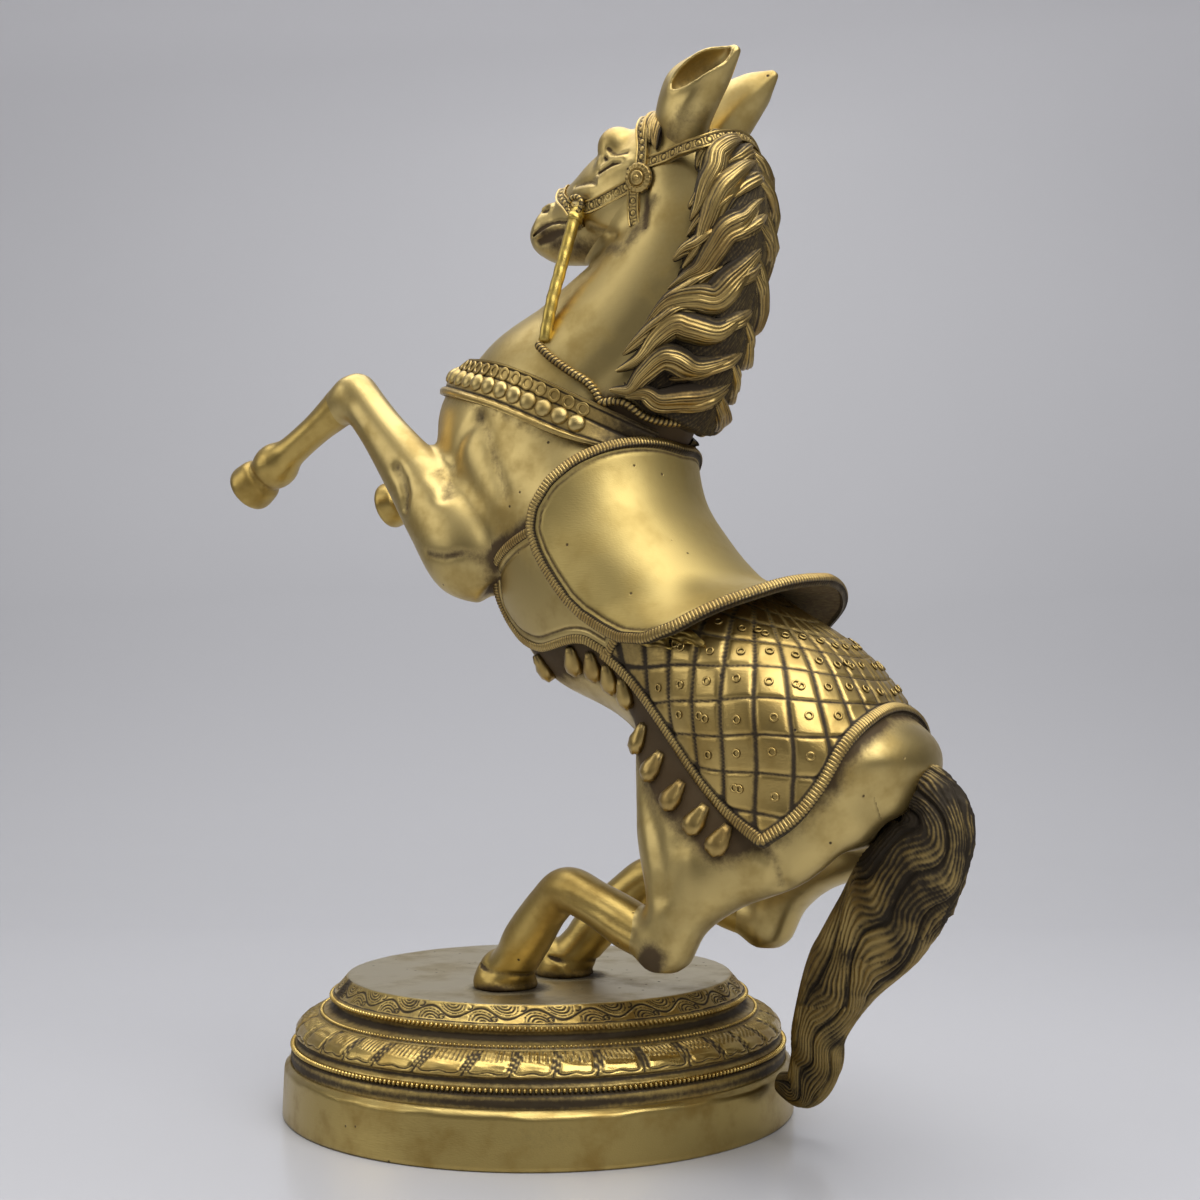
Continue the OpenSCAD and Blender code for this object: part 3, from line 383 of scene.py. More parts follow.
def at(S, u):
    """Smooth values between the stations of a line at place u."""
    S, u = np.asarray(S, float), np.asarray(u, float)
    n = len(S)
    i = np.clip(np.floor(u).astype(int), 0, n - 2)
    t = (u - i)[..., None]
    a, b, c, d = S[np.maximum(0, i - 1)], S[i], S[i + 1], S[np.minimum(n - 1, i + 2)]
    return b + t * (c - a) / 2 + t * t * (a - 2.5 * b + 2 * c - d / 2) + t ** 3 * ((d - a) / 2 + 1.5 * (b - c))


def unit(v):
    return v / np.maximum(1e-9, np.linalg.norm(v, axis=-1, keepdims=True))


def skin(S, u, phi, lift=0.0):
    """Point on a casting at station u, phi degrees round from its upper or front side."""
    u, phi, lift = np.broadcast_arrays(np.asarray(u, float), np.radians(phi), lift)
    v = at(S, u)
    last = len(S) - 1
    T = unit(at(S, np.minimum(last, u + 0.05))[..., :3] - at(S, np.maximum(0, u - 0.05))[..., :3])
    A = unit(np.array([0, 1, 0]) - T[..., 1:2] * T)
    U = np.cross(A, T)
    rise = np.where(np.cos(phi) > 0, v[..., 4], v[..., 5])
    return v[..., :3] + A * ((v[..., 3] + lift) * np.sin(phi))[..., None] + U * ((rise + lift) * np.cos(phi))[..., None]


def loft(S, n=100, m=72):
    """Closed skin through the stations [x, y, z, half width, above, below]: points and triangles."""
    u, p = np.linspace(0, len(S) - 1, n), np.linspace(0, 360, m, endpoint=False)
    v = np.concatenate([skin(S, u[:, None], p[None]).reshape(-1, 3), [S[0][:3], S[-1][:3]]])
    q = cells(n, m, False, True)
    j = np.arange(m)
    ends = np.concatenate([np.stack([j, (j + 1) % m, 0 * j + n * m], 1),
                           np.stack([(n - 1) * m + (j + 1) % m, (n - 1) * m + j, 0 * j + n * m + 1], 1)])
    return v, np.concatenate([q[:, [0, 1, 2]], q[:, [0, 2, 3]], ends])


def ball(c, r):
    return [[c[0] + r * x, c[1], c[2], *[max(0.05, r * math.sqrt(1 - x * x))] * 3]
            for x in (-1, -0.92, -0.7, -0.35, 0, 0.35, 0.7, 0.92, 1)]


def arm(s, knee):
    """Fore arm from its root in the shoulder past the elbow to the knee."""
    elbow = np.array([1, s * 19.5, 123.0])
    way = np.array(knee) - elbow
    rows = [[8, s * 16, 115.5, 7.92, 8.5, 8.5]]
    for k, w, f, b in ((0, 11, 14, 13.5), (0.24, 10.34, 12.5, 12), (0.5, 7.92, 9.5, 9.5), (0.76, 6.75, 7.2, 7.2),
                       (1, 6.25, 6.5, 6.5)):
        rows.append([*(elbow + way * k), w, f, b])
    return rows + [[*(elbow + way * 1.04), 4.2, 4.4, 4.4]]


def cannon(knee, toe):
    """Fore shank with fetlock and hoof cap."""
    knee, way = np.array(knee), np.array(toe) - np.array(knee)
    rows = [[*(knee - way * 0.06), 4.0, 4.0, 4.0]]
    for k, r in ((0, 6), (0.1, 6.1), (0.2, 5.5), (0.34, 4.8), (0.5, 4.7), (0.6, 5.1), (0.68, 6.8), (0.74, 7.1),
                 (0.79, 6.5), (0.825, 5.6), (0.86, 7.0), (0.92, 7.6), (0.97, 7.7), (1, 6.8)):
        rows.append([*(knee + way * k), r, r, r])
    return rows


def thigh(s):
    return [[106, s * 10, 80, 10.4, 18, 14], [99, s * 15.5, 65, 11.96, 41, 25], [90, s * 19.5, 51, 11.96, 37, 25],
            [81, s * 24, 37, 10.4, 22, 15],
            [75.5, s * 26.5, 26, 8.32, 9, 9], [72, s * 27, 16, 7, 6.5, 7], [71, s * 27, 12, 4.62, 3.5, 4]]


def shank(s):
    return [[72, s * 27, 17, 6.3, 5, 4.5], [61, s * 26, 22, 6.72, 6.5, 6.5], [48, s * 24, 27, 6, 6, 6],
            [37, s * 21.5, 29.5, 6.25, 6.3, 6.3],
            [29, s * 19.5, 24.5, 6, 6.2, 6.2], [20, s * 17, 15, 6.9, 6.8, 6.8], [15.6, s * 15.7, 9.6, 6.7, 6.3, 6.5],
            [12.6, s * 14.8, 5.8, 7.4, 7, 7], [10.5, s * 14.2, 3, 9, 9, 8.64], [9.5, s * 14, -5, 9, 9, 9]]


def ear(s):
    return [[67, s * 7.5, 234, 5.46, 5.46, 5.46], [69.5, s * 9, 241, 6.5, 5.2, 11.44],
            [74, s * 10, 246.5, 6.11, 4.68, 13.52],
            [80, s * 10.5, 252.5, 4.55, 3.51, 8.32], [85.9, s * 10.5, 257.3, 1.04, 1.17, 1.17]]


TORSO = [[131, 0, 58, 6, 4, 5], [126, 0, 62, 19.8, 12, 15], [114, 0, 66, 29.04, 17, 27], [97, 0, 77, 33, 21.5, 38],
         [70, 0, 99, 29, 18, 34],
         [50, 0, 118, 29, 20, 43], [30, 0, 138, 27.5, 28, 40], [9, 0, 155, 25, 30, 33], [-1, 0, 169, 21, 24, 23.5],
         [-2, 0, 180, 12, 14, 13.5]]
NECK = [[15, 0, 151, 21.12, 34, 38], [23, 0, 165, 24, 37, 36], [36, 0, 180, 19.68, 36, 27], [48, 0, 193, 16.74, 31, 22],
        [57, 0, 206, 14.58, 25, 18], [63, 0, 219, 13.5, 20, 14], [66, 0, 231, 11.61, 14, 11], [67, 0, 239, 7.02, 7, 6]]
HEAD = [[71, 0, 233, 8.4, 6, 7], [63, 0, 231.5, 12.6, 13, 15], [51, 0, 228.5, 14, 16, 17], [40, 0, 225, 13.16, 16, 17],
        [30, 0, 222, 10.36, 13.5, 14], [21, 0, 220, 7.8, 11, 10], [14, 0, 220.5, 7.5, 8, 7],
        [10.5, 0, 221.5, 4.5, 4, 4]]
lofts = {"torso": TORSO, "neck": NECK, "head": HEAD, "left_ear": ear(-1), "right_ear": ear(1),
         "left_brow": ball([43.8, -7.0, 239.2], 5.8), "right_brow": ball([43.8, 7.0, 239.2], 5.8),
         "left_fore_arm": arm(-1, [-43.5, -22, 175.5]), "right_fore_arm": arm(1, [-28, 26, 158]),
         "left_fore_shank": cannon([-43.5, -22, 175.5], [-91, -22, 149]),
         "right_fore_shank": cannon([-28, 26, 158], [-70, 21, 147]),
         "left_hind_thigh": thigh(-1), "right_hind_thigh": thigh(1), "left_hind_shank": shank(-1),
         "right_hind_shank": shank(1)}
skins = {k: loft(S) for k, S in lofts.items()}


def hoop(x, y, r, z, dip=0.0):
    """Ring about a hind hoof, lower by dip in front."""
    return [[x + r * math.cos(a), y + r * math.sin(a), z - dip * math.cos(a)] for a in np.linspace(0, 2 * np.pi, 25)]


# Chased lines: points on the near side, width and height in mm; a height below 0 is a cut
both_sides = [
    # Eye: heavy upper lid under the brow, the ball, the thin lower lid and the creases between them
    ([[44.2, -12.0, 237.2], [45.4, -12.7, 236.0], [47.4, -13.1, 234.9], [51.0, -13.2, 234.6]], 0.65, -0.6),
    ([[40.8, -10.6, 237.7], [43.0, -11.5, 236.3], [45.4, -12.7, 234.2], [47.8, -13.3, 233.2], [50.2, -13.4, 232.9]],
     0.9, 1.7),
    ([[41.6, -11.3, 235.8], [43.2, -12.0, 234.8], [45.0, -12.7, 233.3]], 0.5, -0.8),
    ([[41.2, -11.5, 234.4]], 1.6, 1.5),
    ([[40.0, -11.3, 231.9], [42.0, -12.4, 231.8], [43.6, -12.7, 232.3], [45.4, -12.9, 233.0]], 0.75, 1.4),
    ([[41.7, -12.6, 230.4], [44.0, -13.0, 231.0], [46.4, -13.2, 231.7], [49.6, -13.5, 231.4]], 0.7, -0.7),
    ([[42.0, -13.3, 228.0], [45.0, -13.7, 229.2], [48.7, -13.8, 230.4], [52.5, -13.6, 230.9]], 1.8, 0.7),
    # Forehead, raised under the forelock
    ([[53.5, -4.2, 243.6], [60.0, -5.0, 244.5]], 4.2, 3.0),
    # Nose: crease before the cheek, the bone under it, a hollow behind the bit, nostril and its rim
    ([[31.1, -9.9, 229.6], [35.0, -11.3, 229.0], [38.5, -12.5, 228.5], [40.4, -13.0, 227.6]], 1.1, -0.7),
    ([[31.5, -10.4, 227.8], [35.4, -11.9, 226.9], [38.8, -12.8, 226.2]], 1.9, 0.8),
    ([[29.8, -10.0, 226.0], [33.3, -11.4, 224.8], [36.2, -12.0, 223.4]], 1.0, -0.9),
    ([[15.4, -4.6, 227.2], [17.2, -4.8, 228.0], [19.0, -5.4, 227.4], [19.6, -6.0, 226.2]], 0.95, 0.9),
    ([[15.8, -5.2, 226.3], [17.9, -5.8, 226.0]], 0.75, -1.9),
    # Slit of the mouth, the lower lip and the dark hollow under it
    ([[10.45, -0.45, 219.3], [11.4, -3.6, 219.0], [13.4, -6.0, 218.9], [15.7, -7.5, 219.5], [17.8, -7.6, 220.3],
      [20.5, -7.8, 221.0],
      [23.5, -8.4, 220.7], [27.1, -9.2, 219.6]], 0.55, -1.6),
    ([[13.6, -6.0, 217.9], [15.9, -7.4, 218.5], [18.2, -7.6, 219.4], [20.9, -7.8, 220.0], [23.9, -8.4, 219.6]], 0.6,
     0.6),
    ([[15.6, -6.6, 216.4], [18.6, -7.1, 216.7], [21.5, -7.6, 217.5], [24.6, -8.3, 217.7]], 1.4, -1.2),
    # Cheek: the round jowl, the groove behind the jaw and the one before the throat
    ([[46.5, -12.2, 221.0]], 6.5, 0.9),
    ([[36.5, -10.4, 216.7], [41.0, -9.9, 214.9], [46.0, -10.2, 212.2]], 1.2, -0.4),
    ([[56.9, -12.6, 226.5], [57.0, -12.7, 221.0], [57.4, -12.9, 216.5], [57.6, -13.0, 212.0]], 1.3, -0.9),
    # Chest and shoulder
    ([[-1.5, -26.1, 140.0], [-4.0, -22.6, 149.0], [-0.3, -23.2, 155.8], [3.0, -23.6, 159.2], [6.2, -23.4, 162.4]], 2.4,
     -0.7),
    ([[7.2, -23.3, 163.2], [11.3, -24.7, 156.7], [13.1, -25.6, 151.0], [16.0, -26.0, 144.7], [18.4, -26.2, 139.1]],
     2.6, -0.7),
    ([[4.0, -24.6, 153.0], [8.0, -25.6, 145.0], [12.0, -26.4, 138.0]], 6.0, 0.9),
    ([[62.5, -13.8, 190.5], [56.8, -15.3, 182.7], [49.7, -17.0, 174.9], [42.8, -19.3, 168.4]], 3.5, -0.7),
    # Fore arm: a leaf-shaped hollow in front, the fold at the arm pit, the flat of the elbow
    ([[-20.4, -28.6, 149.6], [-17.6, -29.0, 145.6], [-16.0, -29.2, 141.0], [-16.6, -29.0, 137.6]], 1.7, -1.3),
    ([[-8.0, -26.1, 147.2], [-4.4, -26.3, 143.8], [-3.2, -27.4, 139.6]], 2.4, -0.7),
    ([[-6.8, -29.5, 123.3], [-0.1, -30.2, 122.0], [5.2, -29.4, 122.6]], 1.3, -0.4),
    # Stifle, buttock and gaskin
    ([[66.4, -28.3, 57.6], [72.0, -31.7, 47.5], [75.2, -33.8, 38.0], [75.5, -34.3, 31.8]], 2.8, -0.9),
    ([[101.1, -29.5, 45.4], [104.6, -27.5, 40.8], [104.3, -23.9, 35.1]], 1.9, -1.3),
    ([[126.0, -8.5, 53.5], [120.0, -12.0, 50.0]], 6.5, 4.5),
    ([[83.7, -33.9, 40.9], [86.2, -33.3, 33.6], [85.5, -31.2, 27.2]], 3.4, 0.5),
    ([[79.5, -34.2, 44.0], [80.6, -34.0, 34.0], [79.0, -33.6, 25.0]], 2.6, -0.4),
    ([[66.0, -32.6, 21.0], [54.0, -31.6, 25.6], [42.0, -29.0, 28.6]], 1.2, -0.5),
    # Hind hooves: the coronet and lumps of the wall
    (hoop(12.0, -14.6, 8.0, 5.4, 1.2), 0.75, -0.9),
    ([[4.4, -10.4, 2.4]], 2.0, 0.8), ([[2.6, -15.4, 2.0]], 2.2, 0.9), ([[5.2, -20.6, 2.4]], 2.2, 0.8),
    ([[12.5, -22.6, 2.6]], 2.0, 0.6),
]


field_reach = 8.0


def grid_round(names, h, room):
    """First corner and size of a grid of step h that holds the named castings with some room."""
    pts = np.concatenate([skins[p][0] for p in names])
    lo = np.floor((pts.min(0) - room) / h).astype(int)
    return lo, np.ceil((pts.max(0) + room) / h).astype(int) - lo + 1


def grid_points(first, last, h):
    return np.stack(np.meshgrid(*[np.arange(a, b) * h for a, b in zip(first, last)], indexing="ij"), -1)


def field(name, lo, n, h):
    """Distance to a casting's skin, below 0 inside, on a grid of step h from lo."""
    v, t = skins[name]
    g = vdb.FloatGrid.createLevelSetFromPolygons(v.astype(np.float32), triangles=t.astype(np.uint32),
                                                 transform=vdb.createLinearTransform(voxelSize=h),
                                                 halfWidth=field_reach / h)
    a = np.empty(n, np.float32)
    g.copyToArray(a, ijk=tuple(int(c) for c in lo))
    return a


def blend(a, b, k):
    """Union of two solids with a fillet of about k between them."""
    t = np.clip(0.5 + 0.5 * (b - a) / k, 0, 1)
    return b + (a - b) * t - k * t * (1 - t)


def melted(names, lo, n, h, k):
    """Distance to several castings run together with fillets of about k."""
    f = field(names[0], lo, n, h)
    for p in names[1:]:
        f = blend(f, field(p, lo, n, h), k)
    return f


def stroke(f, lo, h, points, width, height):
    """Raises the skin along points in a soft line of the given width and height, or cuts it."""
    p = np.asarray(points, float)
    a0 = np.maximum(0, np.floor((p.min(0) - 2.4 * width) / h).astype(int) - lo)
    a1 = np.minimum(f.shape, np.ceil((p.max(0) + 2.4 * width) / h).astype(int) - lo + 1)
    if (a1 <= a0).any():
        return
    X = grid_points(a0 + lo, a1 + lo, h).astype(np.float32)
    best = np.full(X.shape[:3], 1e9, np.float32)
    for a, b in zip(p, p[1:] if len(p) > 1 else p):
        w = b - a
        t = np.clip(((X - a) @ w) / max(1e-9, w @ w), 0, 1)
        best = np.minimum(best, ((X - a - t[..., None] * w) ** 2).sum(-1))
    f[a0[0]:a1[0], a0[1]:a1[1], a0[2]:a1[2]] -= height * np.exp(-best / width ** 2)


def soften(f, k):
    """Mean over a cube of 2k+1 steps."""
    for ax in range(3):
        g = np.moveaxis(np.pad(f, [(k, k) if i == ax else (0, 0) for i in range(3)], mode="edge"), ax, 0)
        m = f.shape[ax]
        f = np.moveaxis(sum(g[i:i + m] for i in range(2 * k + 1)) / np.float32(2 * k + 1), 0, ax)
    return f


def sample(f, p):
    """Values of a grid at fractional places."""
    i = np.clip(np.floor(p).astype(int), 0, np.array(f.shape) - 2)
    t = p - i
    out = 0
    for dx in (0, 1):
        for dy in (0, 1):
            for dz in (0, 1):
                w = np.where([dx, dy, dz], t, 1 - t).prod(1)
                out = out + w * f[i[:, 0] + dx, i[:, 1] + dy, i[:, 2] + dz]
    return out


lattice = np.random.default_rng(7).random((40, 40, 40))


def mottle(p, size):
    """Soft random value between 0 and 1 that changes over about size mm."""
    q = np.asarray(p, float).reshape(-1, 3) / size % 38
    return sample(lattice, q).reshape(p.shape[:-1])


def gap_to(p, path):
    """Distance of points from the nearest point of a path."""
    q = p.reshape(-1, 3)
    d = np.empty(len(q))
    for i in range(0, len(q), 4000):
        a = q[i:i + 4000]
        d[i:i + 4000] = ((a ** 2).sum(1)[:, None] + (path ** 2).sum(1) - 2 * a @ path.T).min(1)
    return np.sqrt(np.maximum(0, d)).reshape(p.shape[:-1])


def run_of(path):
    """Length along a path up to each of its points."""
    return np.concatenate([[0], np.cumsum(np.linalg.norm(np.diff(path, axis=0), axis=1))])


def walk(path, run, t):
    """Points of a path at the lengths t along it."""
    return np.stack([np.interp(t, run, path[:, i]) for i in range(3)], 1)


def lay_residue_and_shade(o, path, width, amount):
    """Darkens a casting along a path in horse mm, ragged at its edge: residue in creases and hollows, painted shade
    under the jaw and the rope rein.
    """
    data = o.data.attributes["residue_and_shade"].data
    c = np.empty(len(data), np.float32)
    data.foreach_get("value", c)
    v = np.empty(len(data) * 3, np.float32)
    o.data.vertices.foreach_get("co", v)
    v = v.reshape(-1, 3) / MM - HORSE
    path = np.asarray(path, float)
    run = run_of(path)
    path = walk(path, run, np.arange(0, run[-1], max(0.25, 0.3 * width)))
    near = np.flatnonzero(((v > path.min(0) - 3 * width) & (v < path.max(0) + 3 * width)).all(1))
    d = gap_to(v[near], path)
    c[near] += amount * np.exp(-(d / width) ** 2) * (0.4 + 0.7 * mottle(v[near], 2.5) + 0.5 * mottle(v[near], 6))
    data.foreach_set("value", np.clip(c, 0, 1))


def skin_of(f, lo, h, reach):
    """Mesh of the grid's zero surface in statue mm and how deep each point lies in a hollow."""
    g = vdb.FloatGrid()
    g.background = 9.0
    g.copyFromArray(f)
    p, q = g.convertToQuads(0.0)[:2]
    p, q = np.asarray(p, float), np.asarray(q).astype(np.int32)[:, ::-1]
    k = max(1, int(round(reach / h)))
    deep = -(sample(soften(f, k), p) - sample(f, p)) / (reach * 0.45)
    return (p + lo) * h + HORSE, q, deep


def cast(name, nodes, parts, others, h, material, k=4.5, cut=None, reach=1.2):
    """One casting: its own lofts and its neighbours' melted together, chased, then parted from the neighbours."""
    h = h * 1.0
    lo, n = grid_round(parts, h, 3.5)
    own = melted(parts, lo, n, h, 1.6)
    total, rest = own, np.full(n, field_reach, np.float32)
    for p in others:
        f = field(p, lo, n, h)
        total = blend(total, f, k)
        rest = np.minimum(rest, f)
    total = soften(total, 1)
    for line, width, height in both_sides:
        for s in (1, -1):
            stroke(total, lo, h, np.array(line) * [1, s, 1], width, height)
    d = (own - rest) / 2
    total = np.maximum(total + 0.05 * np.maximum(0, d) ** 2, np.minimum(d, own) - 3.0)
    if cut is not None:
        total = cut(total, lo, n, h)
    v, q, deep = skin_of(total, lo, h, reach)
    return piece(name, v, q, material, nodes, deep)


polish = brass("polished_cast_brass", "#bda76d", "#9a8249", "#412f18", 0.35, stain=0.75, scratch=0.15, pit=0.25)
dull = brass("satin_cast_brass", "#b69c5a", "#8f7439", "#392812", 0.34, stain=0.7, scratch=0.3, pit=0.3, grain=0.15)


def on_deck(f, lo, n, h):
    """Levels the hooves with the deck."""
    z = ((np.arange(n[2]) + lo[2]) * h)[None, None, :]
    return np.maximum(f, -z).astype(np.float32)


def scooped(s):
    """Hollow of an ear with a raised lip, and the tip of the ear levelled."""
    mid_z, tip_z, tilt = 253.2, 258.72, math.radians(62)

    def cut(f, lo, n, h):
        X = grid_points(lo, lo + n, h) - [76.2, s * 14.6, mid_z]
        c, w = math.cos(tilt), math.sin(tilt)
        x, y, z = X[..., 0] * c - X[..., 2] * w, X[..., 1], X[..., 0] * w + X[..., 2] * c
        e = np.sqrt((x / 3.9) ** 2 + (y / 6.4) ** 2 + (z / 9.8) ** 2)
        e = ((1 - e) * 4.2).astype(np.float32)
        lip = 0.7 * np.exp(-(e / 1.3) ** 2) * np.clip((6 - z) / 5, 0, 1)
        return np.maximum(-blend(lip.astype(np.float32) - f, -e, 0.7), X[..., 2] + mid_z - tip_z).astype(np.float32)
    return cut


trunk = ["torso", "neck", "left_fore_arm", "right_fore_arm", "left_hind_thigh", "right_hind_thigh"]
castings = {
    "torso": cast("torso_casting", ["torso"], ["torso"], [part for part in trunk if part != "torso"], 1.1, polish),
    "neck": cast("neck_casting", ["neck"], ["neck"], ["torso", "head"], 0.9, polish),
    "head": cast("head_casting", ["head"], ["head", "left_brow", "right_brow"], ["neck", "left_ear", "right_ear"], 0.44,
                 polish, k=2.5, reach=0.8),
}
for side, s in (("left", -1), ("right", 1)):
    for name, others, h, metal, finish, k, cut, reach in (
            ("_ear", ["head"], 0.5, polish, "polished_brass", 2.0, scooped(s), 0.8),
            ("_fore_arm", ["torso", side + "_fore_shank"], 0.65, polish, "polished_brass", 4.5, None, 1.2),
            ("_fore_shank", [side + "_fore_arm"], 0.55, dull, "satin_brass", 2.5, None, 1.2),
            ("_hind_thigh", ["torso", side + "_hind_shank"], 0.9, polish, "polished_brass", 4.5, None, 1.2),
            ("_hind_shank", [side + "_hind_thigh"], 0.6, dull, "satin_brass", 3.0, on_deck, 1.2)):
        node = side + name
        castings[node] = cast(node + "_casting", [node], [node], others, h, metal, k, cut, reach)

# Brown wash left in the ears, in the eyes and along the folds of the chest, and painted shade under the mouth and the
# jaw, behind the jaw and under the rope rein
# Painted shade on the neck and the chest just under the rope rein
shade_under_rope = ([[47.9, 16.9, 159.8], [52.4, 13.7, 157.0], [56.4, 9.8, 155.2], [60.2, 4.4, 154.5], [62.9, 0, 156.6]],
              6.0, 1.6)
chest_fold = [[8.8, 24.0, 160.0], [13.8, 25.5, 152.1], [16.8, 26.1, 146.0], [19.9, 26.3, 137.2]]
arm_pit = ([[-7.2, 24.0, 148.4], [-2.5, 26.8, 141.2]], 1.8, 0.25)
residue_and_shade_lines = {
    "ear": [([[72, 13, 250], [76, 12, 252], [79, 12, 254]], 4.0, 0.45),
            ([[66, 13, 236], [70, 14, 240], [74, 10, 241]], 4.5, 0.4)],
    # Painted shade under the mouth and along the underside of the jaw
    "head": [([[18.1, 7.4, 217.8], [23.3, 7.0, 214.9], [28.7, 6.5, 212.6], [34.0, 5.9, 211.0], [43.6, 10.0, 208.5]],
              4.6, 0.75),
             # Painted shade in the groove behind the jaw
             ([[57, 12.8, 227], [57, 13, 220], [57.6, 13.4, 212]], 2.0, 0.5),
             ([[44.2, 12.0, 237.2], [47.4, 13.1, 234.9], [51.0, 13.2, 234.6]], 0.6, 0.25),
             ([[41.6, 11.3, 235.8], [43.2, 12.0, 234.8], [45.0, 12.7, 233.3]], 0.5, 0.5),
             ([[41.7, 12.6, 230.4], [44.0, 13.0, 231.0], [46.4, 13.2, 231.7]], 0.6, 0.25)],
    # Painted shade on the neck under the jaw and behind it
    "neck": [([[43.6, 11.7, 207.9], [49.8, 13.7, 207.5], [56, 13.4, 212], [60, 13.4, 219]], 3.0, 0.6),
             shade_under_rope],
    "torso": [shade_under_rope, ([[4.1, 21.9, 167.0]] + chest_fold, 2.2, 0.18), arm_pit],
    "fore_arm": [([[-5.3, 29.9, 123.4], [-0.1, 30.2, 122.3], [4.9, 29.6, 122.9], [9.5, 27.5, 122.0]], 2.2, 0.5),
                 (chest_fold, 2.2, 0.18), arm_pit],
    "hind_thigh": [([[70, 33, 13], [73, 33, 17]], 3.4, 1.6)],
    "hind_shank": [(hoop(10, 14, 9.2, 0.4), 1.8, 0.8), (hoop(12.0, 14.6, 8.0, 5.4, 1.2), 0.9, 0.5)]}
for part, lines in residue_and_shade_lines.items():
    for line, width, amount in lines:
        for side, y in (("left_", -1), ("right_", 1)):
            lay_residue_and_shade(castings[part if part in castings else side + part], np.array(line) * [1, y, 1], width, amount)

# Mane
# Heavy locks cast on the neck, parted along the crest, each waved and chased with fine grooves;
# the hollows between them hold a grooved ground. Residue darkens the grooves; painted shade darkens the ground and the
# edges and undersides of the locks.
hair = brass("chased_mane_brass", "#af965c", "#85693a", "#1c1309", 0.31, stain=0.7, scratch=0.2, grain=0.3)


def closed_sheet(top, under):
    """Closed skin between two grids of points of the same size: points and quads."""
    n, m = top.shape[:2]
    q = cells(n, m)
    k = n * m
    edge = np.concatenate([np.arange(m), np.arange(1, n) * m + m - 1, (n - 1) * m + np.arange(m - 2, -1, -1),
                           np.arange(n - 2, 0, -1) * m])
    nxt = np.roll(edge, -1)
    side = np.stack([edge, nxt, nxt + k, edge + k], 1)
    return np.concatenate([top.reshape(-1, 3), under.reshape(-1, 3)]), np.concatenate([q[:, ::-1], q + k, side])


def facing_out(v, q):
    """Turns the quads round if the closed skin is inside out."""
    a, b, c, d = (v[q[:, i]] for i in range(4))
    vol = (np.cross(b - a, c - a) * a).sum() + (np.cross(c - a, d - a) * a).sum()
    return q if vol > 0 else q[:, ::-1]


def strand(S, line, width, lift, height, grooves, seed, n, m):
    """One lock laid on a casting along (station, degrees) points: points, quads and hollows."""
    n, m = ((n, m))
    line = np.asarray(line, float)
    t = np.linspace(0, len(line) - 1, n)
    q = at(line, t)
    lift = np.interp(t, np.arange(len(line)), np.broadcast_to(lift, len(line)))
    c = skin(S, q[:, 0], q[:, 1], lift)
    up = unit(skin(S, q[:, 0], q[:, 1], lift + 1) - c)
    way = unit(np.gradient(c, axis=0))
    side = unit(np.cross(up, way))
    up = np.cross(way, side)
    k = (t / t[-1])[:, None]
    taper = np.minimum(1, 0.12 + 2.6 * k) * (1 - 0.9 * k ** 3.2)
    x = np.linspace(-1, 1, m)[None]
    # Grooves of uneven depth that wander along the lock
    wander = 0.3 * np.sin(5 * k + 2 * x + seed) + 0.12 * np.sin(13 * k + 2 * seed)
    wave = grooves * (x + 0.12 * np.sin(4 * x + seed)) / 2 + wander
    cut = (0.3 + 0.7 * np.abs(np.sin(7.3 * np.round(wave) + seed))) * np.abs(np.cos(np.pi * wave)) ** 3
    body = np.sqrt(np.maximum(0, 1 - np.abs(x) ** 2.4)) * (1 - 0.2 * x + 0.12 * np.cos(5 * x + seed))
    h = height * taper ** 0.8 * body - 0.6 * cut * taper
    top = c[:, None] + side[:, None] * (x * width / 2 * taper)[..., None] + up[:, None] * h[..., None]
    under = c[:, None] + side[:, None] * (x * width * 0.48 * taper)[..., None] - up[:, None] * (1.8 + 0 * h)[..., None]
    v, f = closed_sheet(top, under)
    # Residue in the grooves; the darker edges of each lock and its dark underside are painted shade
    deep = np.clip(0.85 * cut + 0.9 * np.abs(x) ** 4, 0, 1) * np.ones_like(h)
    return v, facing_out(v, f), np.concatenate([deep.ravel(), np.ones(deep.size)])


def joined(parts):
    """Several skins in one."""
    v, f, c = zip(*parts)
    first = np.cumsum([0] + [len(x) for x in v[:-1]])
    return np.concatenate(v), np.concatenate([x + k for x, k in zip(f, first)]), np.concatenate(c)


def laid(name, form, material, node):
    """Piece from a form's points in horse mm, its faces and its hollows."""
    v, f, c = form
    return piece(name, v + HORSE, f, material, [node], c)


